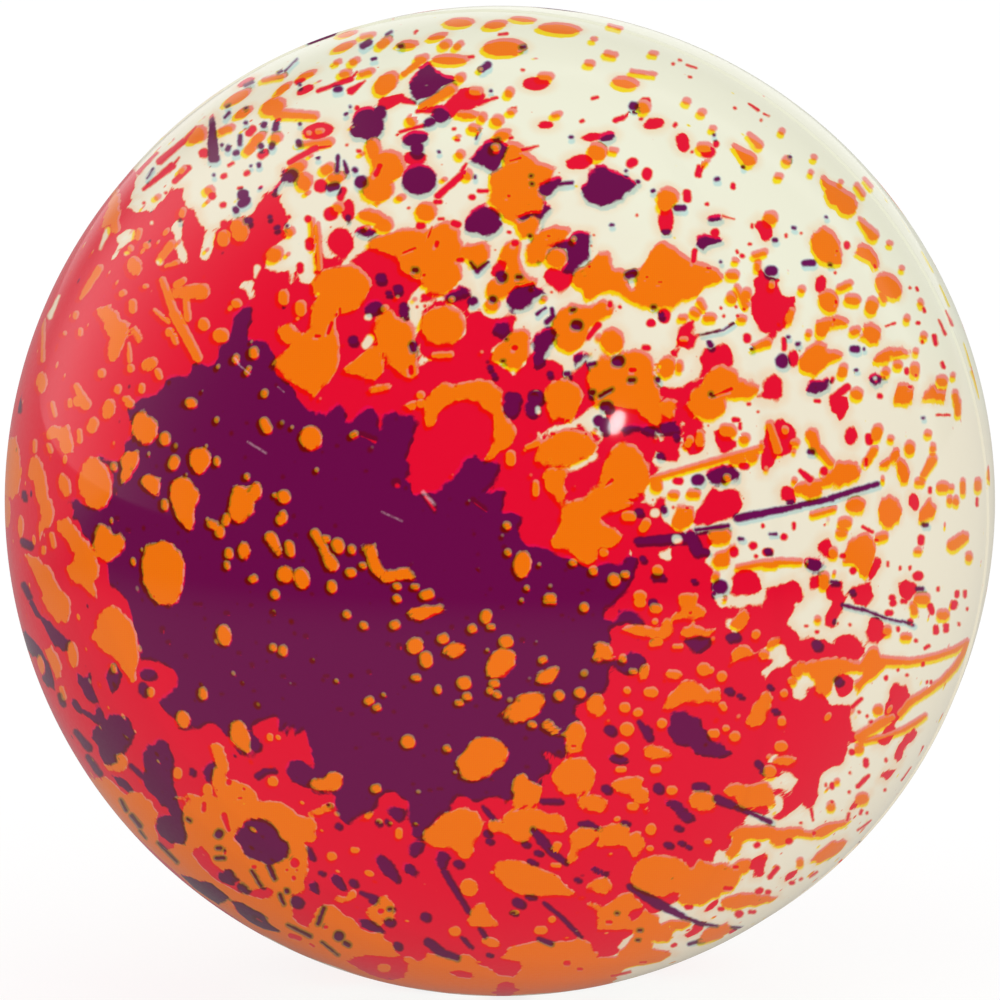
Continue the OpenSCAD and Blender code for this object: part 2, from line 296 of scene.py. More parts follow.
    (purple, -170,-378, -166,-374, -161,-377, -157,-384, -154,-390, -160,-388, -167,-384),
    (purple, -193,-384, -188,-379, -183,-382, -182,-390, -184,-393, -190,-389),
    (purple, -116,-309, -111,-304, -105,-305, -98,-308, -96,-318, -102,-320, -108,-317, -114,-313),
    (orange, -141,-320, -136,-312, -130,-311, -126,-313, -128,-319, -133,-321, -138,-321),
    (orange, -190,-314, -183,-308, -175,-303, -169,-302, -167,-306, -172,-311, -180,-315),
    (red, -150,-458, -142,-456, -128,-455, -112,-456, -98,-456, -92,-466, -96,-478, -112,-480, -130,-475,
     -143,-468, -151,-462),
    (purple, -93,-342, -85,-339, -78,-343, -80,-352, -83,-358, -90,-359, -96,-353),
    (purple, -97,-362, -89,-362, -84,-370, -85,-377, -92,-376, -97,-370),
    (orange, -76,-338, -75,-330, -68,-324, -62,-318, -55,-313, -48,-311, -40,-309, -32,-309, -25,-312,
     -21,-317, -19,-323, -21,-332, -23,-338, -27,-343, -27,-352, -31,-356, -36,-357, -41,-352,
     -48,-347, -57,-346, -67,-345, -72,-342),
    (orange, -33,-421, -28,-412, -22,-405, -17,-404, -12,-410, -6,-418, -2,-424, -3,-427, -10,-425,
     -20,-426, -28,-426),
    (orange, -10,-329, -7,-322, 2,-321, 5,-315, 10,-311, 18,-310, 23,-309, 32,-307, 40,-309, 48,-312,
     57,-313, 63,-318, 67,-324, 68,-329, 60,-332, 50,-331, 43,-330, 40,-327, 33,-328, 32,-335, 30,-338,
     22,-342, 15,-340, 10,-335, 3,-331, -3,-331, -8,-332),
    (orange, -8,-367, -6,-362, 0,-360, 10,-360, 20,-361, 30,-363, 38,-366, 48,-371, 57,-375, 62,-383,
     68,-388, 74,-393, 70,-395, 60,-395, 50,-396, 40,-397, 30,-395, 20,-394, 10,-389, 2,-383, -5,-375),
    (orange, 68,-337, 73,-331, 82,-328, 90,-329, 100,-329, 106,-330, 106,-334, 100,-337, 93,-342, 87,-345,
     78,-349, 77,-357, 74,-362, 70,-364, 66,-362, 68,-355, 70,-347),
    (purple, -62,-353, -58,-352, -52,-355, -53,-362, -57,-368, -61,-368, -65,-363),
    (purple, 88,-369, 92,-364, 97,-366, 104,-372, 104,-377, 96,-375),
    (red, -50,-472, -40,-470, -30,-472, -25,-475, -30,-478, -42,-477),
    (red, -8,-492, -2,-484, 6,-481, 14,-483, 20,-490, 10,-496, -2,-496),
    (orange, 98,-326, 105,-325, 113,-323, 122,-323, 128,-328, 129,-335, 133,-333, 138,-331, 142,-333,
     144,-342, 143,-347, 138,-352, 137,-357, 131,-358, 129,-350, 125,-345, 115,-346, 107,-346,
     98,-346),
    (orange, 98,-409, 108,-405, 114,-400, 122,-394, 130,-392, 135,-397, 140,-400, 145,-408, 152,-413,
     158,-418, 160,-425, 167,-428, 177,-428, 173,-433, 168,-440, 153,-440, 150,-443, 152,-448,
     165,-452, 170,-455, 160,-460, 143,-463, 127,-467, 110,-473, 100,-478, 98,-460, 118,-456, 122,-448,
     130,-442, 137,-432, 125,-429, 110,-429, 98,-430),
    (orange, 131,-383, 130,-377, 133,-368, 138,-362, 147,-357, 155,-355, 165,-355, 177,-358, 185,-362,
     190,-367, 193,-370, 197,-363, 201,-360, 210,-362, 213,-365, 220,-365, 230,-367, 235,-372,
     239,-377, 237,-383, 233,-389, 227,-392, 220,-393, 218,-397, 212,-398, 205,-403, 200,-405,
     192,-403, 183,-402, 178,-398, 180,-393, 173,-392, 165,-395, 155,-395, 145,-393, 138,-390),
    (orange, 232,-332, 235,-327, 243,-326, 260,-326, 277,-326, 290,-328, 302,-329, 302,-333, 293,-335,
     291,-338, 285,-345, 278,-346, 273,-342, 270,-337, 260,-338, 250,-337, 243,-340, 240,-347,
     238,-352, 232,-356, 227,-353, 232,-343, 234,-337),
    (orange, 311,-334, 315,-328, 325,-324, 340,-321, 350,-319, 347,-324, 337,-328, 327,-334, 318,-337,
     312,-336),
    (orange, 233,-367, 238,-361, 245,-358, 250,-360, 249,-368, 246,-372, 238,-372),
    (red, 248,-370, 252,-360, 258,-355, 264,-353, 267,-358, 266,-365, 265,-373, 261,-377, 255,-376,
     254,-371),
    (red, 284,-377, 290,-373, 297,-370, 297,-375, 291,-379, 286,-381),
    (red, 204,-411, 208,-405, 214,-401, 219,-398, 219,-403, 213,-409, 207,-412),
    (orange, 221,-400, 228,-396, 240,-394, 252,-394, 265,-396, 276,-398, 270,-401, 258,-404, 245,-406,
     232,-408, 224,-406),
    (red, 183,-436, 190,-432, 195,-425, 200,-421, 205,-423, 202,-430, 196,-435, 188,-438),
    (orange, 199,-440, 205,-430, 213,-426, 225,-425, 233,-428, 228,-433, 218,-437, 208,-440),
    (orange, 163,-423, 170,-419, 180,-420, 188,-424, 182,-429, 172,-427),
    (red, 128,-415, 130,-411, 137,-408, 145,-406, 145,-411, 139,-416, 133,-419),
    (orange, 140,-298, 146,-303, 152,-310, 148,-313, 142,-307),
    (orange, 189,-298, 191,-306, 197,-308, 205,-309, 213,-308, 216,-298),
    (purple, 163,-298, 165,-305, 172,-308, 176,-314, 181,-319, 188,-322, 193,-319, 191,-312, 184,-307,
     179,-304, 172,-298),
    (orange, 98,-377, 105,-378, 111,-385, 110,-391, 104,-395, 98,-394),
    (orange, 76,-296, 78,-304, 84,-308, 92,-311, 100,-312, 106,-310, 106,-300, 98,-296),
    (orange, 88,-385, 92,-380, 97,-378, 104,-377, 104,-393, 96,-394, 90,-390),
    (orange, 87,-402, 92,-400, 100,-405, 104,-410, 98,-410, 90,-407),
    (orange, 312,-360, 318,-353, 325,-347, 333,-341, 340,-340, 345,-343, 341,-350, 333,-356, 322,-361,
     315,-362),
    (red, 350,-308, 352,-302, 356,-298, 360,-302, 356,-309, 352,-311),
    (orange, 354,-300, 358,-297, 368,-297, 366,-302, 358,-305),
    (purple, -472,-100, -466,-112, -458,-122, -452,-134, -446,-144, -438,-149, -432,-146, -432,-139,
     -439,-134, -444,-128, -454,-120, -464,-108, -469,-98),
    (purple, -478,-128, -464,-142, -458,-152, -452,-162, -449,-174, -448,-186, -454,-184, -459,-176,
     -457,-166, -464,-156, -474,-146),
    (purple, -430,-196, -424,-200, -420,-208, -412,-211, -406,-216, -401,-219, -405,-209, -402,-205,
     -399,-210, -398,-218, -394,-219, -389,-214, -382,-212, -375,-215, -371,-223, -368,-232, -370,-240,
     -376,-248, -380,-254, -384,-261, -390,-264, -397,-262, -401,-254, -403,-244, -410,-236, -409,-229,
     -402,-226, -398,-222, -408,-219, -418,-212, -426,-208, -430,-202),
    (purple, -424,-172, -416,-178, -411,-170, -410,-178, -408,-188, -405,-198, -408,-201, -415,-198,
     -419,-188, -424,-180),
    (purple, -387,-160, -383,-166, -380,-172, -382,-182, -388,-188, -390,-192, -393,-184, -396,-176,
     -393,-168),
    (red, -364,-158, -348,-159, -336,-162, -328,-168, -323,-176, -325,-184, -332,-192, -342,-198,
     -346,-206, -362,-206, -366,-182),
    (purple, -354,-242, -348,-243, -342,-241, -334,-242, -330,-252, -327,-264, -330,-274, -329,-284,
     -325,-294, -324,-306, -340,-304, -346,-296, -354,-288, -358,-278, -357,-264, -358,-254),
    (purple, -389,-274, -382,-275, -376,-280, -371,-288, -374,-291, -382,-285),
    (purple, -298,-266, -289,-260, -286,-268, -289,-278, -290,-284, -297,-280),
    (orange, -400,-116, -394,-108, -387,-105, -378,-109, -370,-120, -365,-132, -363,-146, -362,-160,
     -365,-172, -364,-180, -369,-182, -372,-174, -378,-168, -385,-159, -394,-152, -402,-144, -407,-138,
     -406,-132, -403,-128, -402,-122),
    (orange, -460,-96, -452,-110, -443,-121, -434,-122, -428,-112, -430,-98, -440,-88),
    (orange, -456,-149, -448,-148, -442,-154, -439,-164, -439,-176, -444,-178, -448,-166, -452,-158),
    (orange, -384,-256, -378,-253, -372,-260, -374,-266, -382,-272, -390,-271, -396,-265, -388,-265,
     -383,-262),
    (orange, -420,-280, -402,-278, -392,-278, -384,-286, -374,-294, -366,-294, -358,-293, -350,-304,
     -372,-316, -400,-310),
    (orange, -270,-232, -267,-222, -261,-219, -255,-222, -251,-232, -250,-244, -248,-252, -254,-254,
     -260,-248, -267,-241),
    (orange, -189,-285, -180,-278, -172,-272, -164,-271, -159,-276, -160,-284, -164,-290, -172,-291,
     -182,-290),
    (orange, -288,-246, -282,-243, -276,-248, -273,-260, -272,-269, -276,-274, -272,-280, -262,-281,
     -252,-286, -244,-294, -240,-304, -284,-306, -284,-294, -286,-286, -289,-276, -286,-270, -280,-268,
     -284,-258),
    (orange, -95,-112, -89,-108, -80,-109, -70,-107, -60,-104, -55,-105, -54,-110, -62,-112, -72,-114,
     -78,-119, -86,-118, -92,-116),
    (orange, -58,-151, -50,-145, -42,-143, -35,-144, -36,-150, -42,-156, -50,-156),
    (orange, 0,-148, 9,-148, 15,-154, 15,-162, 11,-168, 4,-173, -4,-177, -12,-177, -14,-172, -13,-164,
     -9,-156, -5,-150),
    (orange, 37,-181, 42,-172, 47,-166, 54,-162, 61,-166, 61,-172, 57,-178, 50,-182, 42,-183),
    (orange, 0,-214, 6,-208, 14,-201, 20,-193, 28,-191, 38,-192, 45,-193, 46,-200, 43,-206, 38,-212,
     30,-217, 22,-222, 14,-223, 6,-219),
    (orange, 42,-228, 43,-222, 49,-218, 54,-221, 59,-228, 58,-234, 52,-235, 46,-231),
    (orange, 86,-204, 90,-198, 94,-192, 100,-193, 106,-198, 106,-212, 96,-217, 89,-213),
    (orange, 93,-158, 98,-148, 104,-144, 108,-152, 104,-160, 96,-161),
    (orange, 65,-234, 69,-226, 76,-221, 81,-222, 85,-228, 84,-236, 79,-241, 80,-248, 74,-252, 66,-251,
     66,-246, 69,-240),
    (orange, -46,-261, -40,-254, -34,-248, -26,-241, -18,-238, -8,-239, 2,-242, 7,-248, 7,-256, 2,-264,
     -5,-270, -14,-276, -24,-281, -34,-280, -40,-276, -41,-270, -44,-266),
    (orange, 53,-278, 56,-270, 62,-263, 70,-258, 80,-258, 89,-261, 95,-268, 96,-276, 92,-284, 86,-291,
     78,-296, 68,-294, 59,-288),
    (orange, 13,-298, 13,-286, 17,-278, 24,-274, 28,-280, 34,-282, 42,-284, 43,-290, 41,-298, 38,-306,
     14,-306),
    (purple, 100,-96, 110,-98, 116,-104, 119,-110, 123,-107, 128,-106, 133,-110, 138,-115, 143,-121,
     140,-123, 132,-122, 123,-121, 115,-123, 107,-127, 104,-132, 104,-140, 100,-146),
    (red, 104,-104, 110,-102, 116,-104, 119,-110, 117,-117, 112,-121, 105,-120, 102,-114, 101,-108),
    (purple, 98,-158, 110,-158, 120,-158, 127,-152, 130,-150, 138,-153, 144,-159, 145,-165, 140,-169,
     132,-170, 128,-174, 122,-173, 115,-168, 108,-163, 98,-161),
    (orange, 94,-143, 106,-144, 110,-148, 113,-154, 118,-160, 112,-158, 106,-159, 98,-160),
    (orange, 120,-127, 127,-125, 137,-124, 147,-127, 155,-127, 160,-126, 162,-121, 167,-118, 171,-120,
     173,-126, 173,-133, 171,-138, 165,-138, 160,-137, 152,-136, 142,-135, 132,-133, 125,-132,
     121,-130),
    (orange, 180,-94, 179,-105, 180,-110, 175,-112, 172,-115, 173,-118, 180,-118, 185,-117, 188,-120,
     193,-120, 197,-117, 202,-116, 204,-113, 203,-109, 198,-107, 196,-103, 195,-94),
    (purple, 183,-137, 190,-134, 200,-134, 209,-136, 208,-142, 203,-147, 198,-150, 192,-147, 187,-143),
    (orange, 182,-133, 184,-129, 189,-128, 193,-123, 197,-126, 203,-128, 210,-128, 214,-129, 212,-133,
     207,-135, 200,-135, 193,-135, 187,-135),
    (cream, 226,-119, 233,-118, 240,-120, 240,-128, 236,-132, 231,-132, 227,-127),
    (orange, 241,-111, 244,-109, 248,-112, 249,-117, 248,-122, 244,-127, 240,-129, 237,-127, 232,-124,
     234,-119, 239,-115),
    (orange, 233,-148, 238,-146, 243,-146, 250,-149, 256,-154, 253,-156, 247,-157, 240,-159, 232,-162,
     232,-157),
    (cream, 259,-150, 264,-148, 269,-145, 272,-147, 278,-142, 282,-142, 285,-150, 290,-160, 288,-163,
     282,-168, 275,-168, 270,-173, 267,-179, 263,-175, 262,-170, 267,-168, 272,-165, 274,-160,
     270,-158, 264,-160, 260,-155),
    (orange, 267,-143, 270,-139, 275,-137, 282,-137, 283,-140, 279,-142, 275,-146, 269,-148),
    (cream, 292,-180, 306,-176, 306,-196, 298,-200, 294,-197, 293,-190, 290,-186),
    (orange, 163,-208, 165,-200, 167,-195, 173,-190, 180,-184, 185,-181, 190,-180, 197,-182, 202,-185,
     207,-190, 210,-192, 215,-188, 219,-188, 221,-195, 219,-202, 213,-203, 208,-201, 200,-202,
     193,-200, 187,-200, 182,-202, 177,-207, 172,-209, 167,-210),
    (purple, 168,-212, 173,-209, 180,-209, 185,-210, 187,-215, 193,-217, 198,-219, 199,-225, 203,-230,
     207,-237, 213,-241, 220,-242, 223,-247, 228,-250, 230,-253, 225,-256, 218,-258, 210,-255,
     202,-255, 195,-253, 193,-247, 190,-242, 183,-244, 177,-243, 172,-238, 167,-232, 166,-227,
     170,-223, 170,-217),
    (orange, 146,-248, 150,-245, 157,-246, 163,-246, 168,-250, 171,-255, 167,-257, 160,-256, 153,-258,
     148,-256, 146,-253),
    (orange, 111,-283, 117,-280, 125,-278, 140,-277, 143,-280, 142,-287, 147,-289, 149,-295, 151,-304,
     137,-304, 132,-296, 123,-293, 117,-290, 112,-287),
    (orange, 190,-304, 193,-293, 200,-290, 208,-291, 213,-295, 217,-304),
    (orange, 223,-290, 225,-286, 232,-284, 240,-285, 248,-287, 252,-284, 260,-282, 265,-283, 268,-288,
     273,-293, 275,-300, 275,-306, 243,-306, 237,-296, 230,-295, 225,-293),
    (orange, 262,-193, 265,-191, 269,-193, 272,-198, 270,-205, 267,-210, 265,-217, 262,-223, 255,-225,
     249,-223, 248,-220, 252,-215, 252,-210, 255,-203, 258,-200),
    (cream, 267,-262, 268,-256, 273,-253, 279,-254, 278,-262, 272,-265),
    (cream, 265,-278, 273,-278, 280,-275, 281,-271, 287,-272, 296,-277, 298,-280, 293,-286, 290,-294,
     284,-293, 279,-288, 272,-286),
    (red, 334,-98, 338,-94, 344,-98, 342,-112, 338,-118, 338,-125, 334,-130, 328,-128, 324,-125, 325,-115,
     329,-108),
    (red, 352,-94, 370,-94, 371,-104, 366,-109, 360,-106, 354,-102),
    (red, 368,-117, 377,-117, 382,-120, 385,-125, 390,-128, 389,-133, 383,-138, 377,-143, 368,-143,
     367,-140, 365,-132, 367,-123),
    (orange, 298,-162, 310,-161, 327,-159, 343,-159, 360,-160, 365,-155, 367,-151, 373,-148, 380,-154,
     383,-160, 393,-162, 400,-161, 387,-165, 380,-170, 373,-175, 365,-182, 360,-188, 357,-190,
     355,-185, 352,-182, 360,-177, 363,-173, 353,-172, 343,-173, 335,-177, 332,-182, 332,-192,
     325,-194, 317,-190, 318,-187, 320,-180, 313,-177, 308,-173, 298,-172),
    (red, 335,-178, 343,-173, 352,-173, 355,-182, 352,-192, 343,-197, 337,-195, 334,-187),
    (red, 393,-184, 400,-182, 405,-184, 408,-192, 410,-195, 408,-202, 403,-207, 400,-217, 395,-222,
     387,-220, 384,-213, 385,-205, 388,-200, 390,-192),
    (red, 388,-225, 393,-224, 396,-230, 393,-237, 388,-243, 383,-248, 378,-246, 377,-240, 382,-233),
    (red, 408,-232, 413,-230, 417,-233, 413,-240, 407,-245, 403,-250, 402,-260, 397,-261, 394,-257,
     397,-248, 402,-242, 404,-235),
    (red, 383,-272, 390,-270, 396,-269, 392,-276, 387,-281, 382,-277),
    (orange, -400,272, -392,292, -384,320, -380,304, -380,270, -386,266, -392,276),
    (orange, -404,190, -388,197, -386,188, -371,176, -373,164, -378,152, -380,144, -385,139, -391,142,
     -393,152, -389,162, -397,178),
    (cream, -371,294, -365,306, -342,304, -346,290, -360,286),
    (cream, -382,263, -374,269, -362,269, -364,260, -372,257, -380,251, -384,243, -389,238, -385,248,
     -381,256),
    (cream, -330,274, -322,282, -318,278, -319,269, -320,264, -312,246, -310,236, -316,235, -321,242,
     -326,258, -325,266),
    (cream, -299,242, -300,254, -292,269, -285,267, -287,252, -292,241),
    (cream, -215,298, -202,306, -186,300, -179,282, -164,272, -172,267, -184,264, -183,240, -188,213,
     -198,219, -204,229, -207,215, -212,217, -212,228, -234,231, -236,236, -226,246, -224,256,
     -214,263, -217,272, -208,286),
    (cream, -259,215, -252,219, -247,219, -245,204, -250,202, -255,210),
    (cream, -149,245, -136,262, -126,262, -134,251, -146,243, -154,236, -158,239),
    (cream, -178,260, -170,252, -160,242, -175,243, -180,250),
    (orange, -188,216, -176,229, -162,234, -146,234, -132,227, -127,216, -133,202, -142,193, -156,186,
     -166,188, -164,176, -162,160, -161,138, -168,124, -180,109, -187,103, -196,110, -214,123,
     -226,135, -220,146, -208,155, -219,161, -220,172, -210,176, -196,166, -189,172, -189,184,
     -191,194, -180,202, -186,209),
    (orange, -156,130, -146,138, -136,146, -127,154, -120,150, -117,138, -118,127, -126,122, -138,124,
     -148,128),
    (orange, -129,168, -120,187, -108,193, -102,182, -92,178, -86,166, -83,150, -83,134, -90,128,
     -100,126, -111,136, -118,152, -122,160),
    (orange, -102,270, -80,271, -72,268, -66,276, -52,279, -43,272, -40,260, -41,244, -39,232, -40,221,
     -46,213, -56,208, -66,207, -74,212, -76,219, -88,223, -96,229, -102,242, -130,256, -122,264),
    (orange, 0,300, 6,282, 16,276, 24,266, 36,267, 40,274, 42,282, 40,302),
    (purple, -36,277, -34,286, -26,293, -14,296, -4,292, 1,284, 4,275, -6,267, -16,264, -28,266, -35,270),
    (purple, 17,282, 20,292, 30,300, 44,300, 52,293, 45,286, 44,274, 40,271, 38,280, 32,283, 24,279),
    (orange, 27,238, 27,250, 36,260, 44,272, 56,274, 68,270, 64,260, 52,256, 46,246, 44,240, 36,236),
    (purple, 45,244, 49,254, 58,260, 70,263, 76,269, 90,267, 90,260, 93,252, 90,244, 82,237, 74,228,
     64,228, 62,234, 68,242, 66,250, 58,252, 50,248),
    (red, 46,224, 48,233, 60,230, 72,229, 74,218, 68,209, 60,207, 52,214),
    (orange, 74,219, 76,229, 88,233, 96,242, 100,250, 108,246, 113,233, 126,229, 139,231, 148,242,
     154,253, 164,258, 172,255, 184,247, 200,236, 218,231, 223,224, 216,218, 202,214, 195,205, 182,201,
     168,194, 154,190, 142,194, 130,203, 114,210, 102,210, 90,200, 85,203, 86,213, 78,214),
    (cream, 126,220, 136,225, 137,214, 132,210, 128,214),
    (orange, -37,248, -32,256, -18,258, -10,252, -12,242, -19,236, -28,235, -34,241),
    (orange, 2,242, 4,254, 12,260, 19,256, 19,242, 20,234, 26,226, 36,219, 32,212, 20,208, 8,204, -4,201,
     -12,206, -12,214, -8,220, 0,224, 9,232),
    (red, -10,224, -9,234, 0,240, 7,234, 5,226, -2,222),
    (purple, 5,201, 9,210, 20,216, 32,217, 40,210, 45,207, 36,200, 30,194, 22,191, 12,193),
    (purple, -56,206, -46,212, -40,219, -32,212, -30,208, -42,204, -52,201),
    (orange, -79,174, -76,186, -66,193, -52,195, -40,189, -34,177, -36,166, -46,158, -60,155, -72,158),
    (cream, -93,200, -88,209, -74,213, -74,208, -80,205, -79,198, -69,200, -58,205, -54,202, -66,196,
     -77,188, -80,176, -80,160, -76,146, -66,141, -74,136, -82,136, -82,156, -86,174, -92,184),
    (orange, -106,186, -92,172, -86,158, -84,142, -83,126, -92,122, -102,126, -108,142, -112,166),
    (orange, -8,140, -4,152, 6,160, 12,168, 24,172, 30,166, 29,152, 26,140, 20,132, 12,133, 2,139),
    (purple, 29,158, 34,166, 44,172, 54,172, 56,164, 52,154, 49,147, 42,147, 42,139, 36,136, 34,144,
     36,150),
    (orange, 55,182, 60,190, 74,194, 90,194, 102,200, 114,194, 112,188, 102,182, 90,176, 88,164, 82,154,
     72,150, 60,152, 56,160, 64,166, 56,172),
    (purple, 73,144, 79,151, 94,147, 90,143, 82,141, 75,136),
    (purple, -9,170, -5,181, 6,180, 7,174, 10,170, 2,164, -4,168),
    (purple, 196,256, 198,264, 206,266, 216,265, 223,260, 212,255, 204,250, 199,252),
    (red, 254,274, 260,282, 268,279, 272,274, 273,264, 268,257, 261,260, 258,268),
    (red, 259,232, 259,226, 254,218, 254,208, 250,198, 250,186, 256,176, 260,168, 267,166, 266,160,
     273,161, 276,170, 284,174, 292,182, 296,194, 294,202, 284,204, 278,212, 278,220, 272,223,
     264,226),
    (red, 200,132, 201,142, 206,150, 218,152, 223,158, 231,152, 234,142, 233,132, 224,126, 208,120,
     199,116, 194,120, 186,116, 180,102, 182,96, 194,100, 198,114),
    (orange, 206,126, 212,133, 224,135, 234,131, 239,120, 252,117, 259,113, 258,105, 244,103, 230,104,
     220,106, 210,108, 206,116),
    (red, 262,116, 266,124, 272,127, 278,124, 283,116, 282,104, 276,98, 264,100, 255,102, 255,106,
     261,109),
    (red, 168,148, 176,154, 176,164, 180,174, 188,179, 195,180, 194,172, 192,166, 200,166, 194,158,
     190,152, 182,150, 178,142, 174,142),
    (orange, 89,112, 92,130, 100,145, 110,144, 122,146, 136,152, 148,148, 154,140, 152,128, 154,122,
     158,112, 160,102, 156,92, 100,94),
    (orange, 312,266, 324,273, 334,268, 340,258, 342,246, 339,238, 330,235, 320,242, 313,250, 311,258),
    (orange, 356,247, 362,257, 370,256, 377,246, 378,234, 374,232, 370,240, 362,241),
    (orange, 317,170, 318,178, 328,184, 338,184, 348,180, 338,176, 330,172, 326,164, 320,163),
    (orange, 362,176, 372,176, 380,170, 380,160, 372,158, 366,162, 359,164, 366,169),
    (orange, 300,142, 308,150, 318,159, 326,156, 326,150, 341,146, 334,142, 326,139, 318,130, 314,126,
     306,130, 301,136),
    (orange, 375,140, 380,149, 388,153, 396,149, 402,153, 410,149, 406,146, 394,145, 384,141),
    (purple, 367,122, 374,130, 380,126, 386,122, 380,117, 372,115),
    (purple, 305,110, 309,119, 322,120, 330,124, 334,123, 330,116, 326,109, 316,106),
    (orange, 395,100, 399,114, 406,118, 414,114, 412,102, 408,96),
    (orange, 422,102, 428,110, 434,117, 437,109, 446,109, 444,103, 434,101),
    (purple, -228,312, -219,320, -218,332, -206,333, -200,324, -206,317, -217,318, -225,309),
    (red, -60,390, -52,402, -38,412, -26,412, -16,410, -16,398, -26,392, -38,389, -48,383),
    (purple, -91,414, -87,424, -79,434, -72,439, -62,430, -46,423, -47,419, -58,413, -70,403, -82,401,
     -88,406),
    (orange, -9,312, -6,328, 4,334, 3,344, 9,358, 18,356, 26,348, 40,338, 54,332, 50,316, 40,290, 10,286,
     -8,296),
    (purple, -30,342, -22,352, -14,360, -3,362, 8,356, 4,344, 2,334, -6,329, -16,333, -24,338),
    (purple, 82,314, 88,326, 98,336, 104,336, 124,324, 138,317, 129,309, 114,296, 100,294, 86,298),
    (orange, 321,322, 326,322, 330,318, 337,316, 343,312, 350,308, 354,304, 357,298, 330,296, 329,304,
     327,312, 323,316),
)

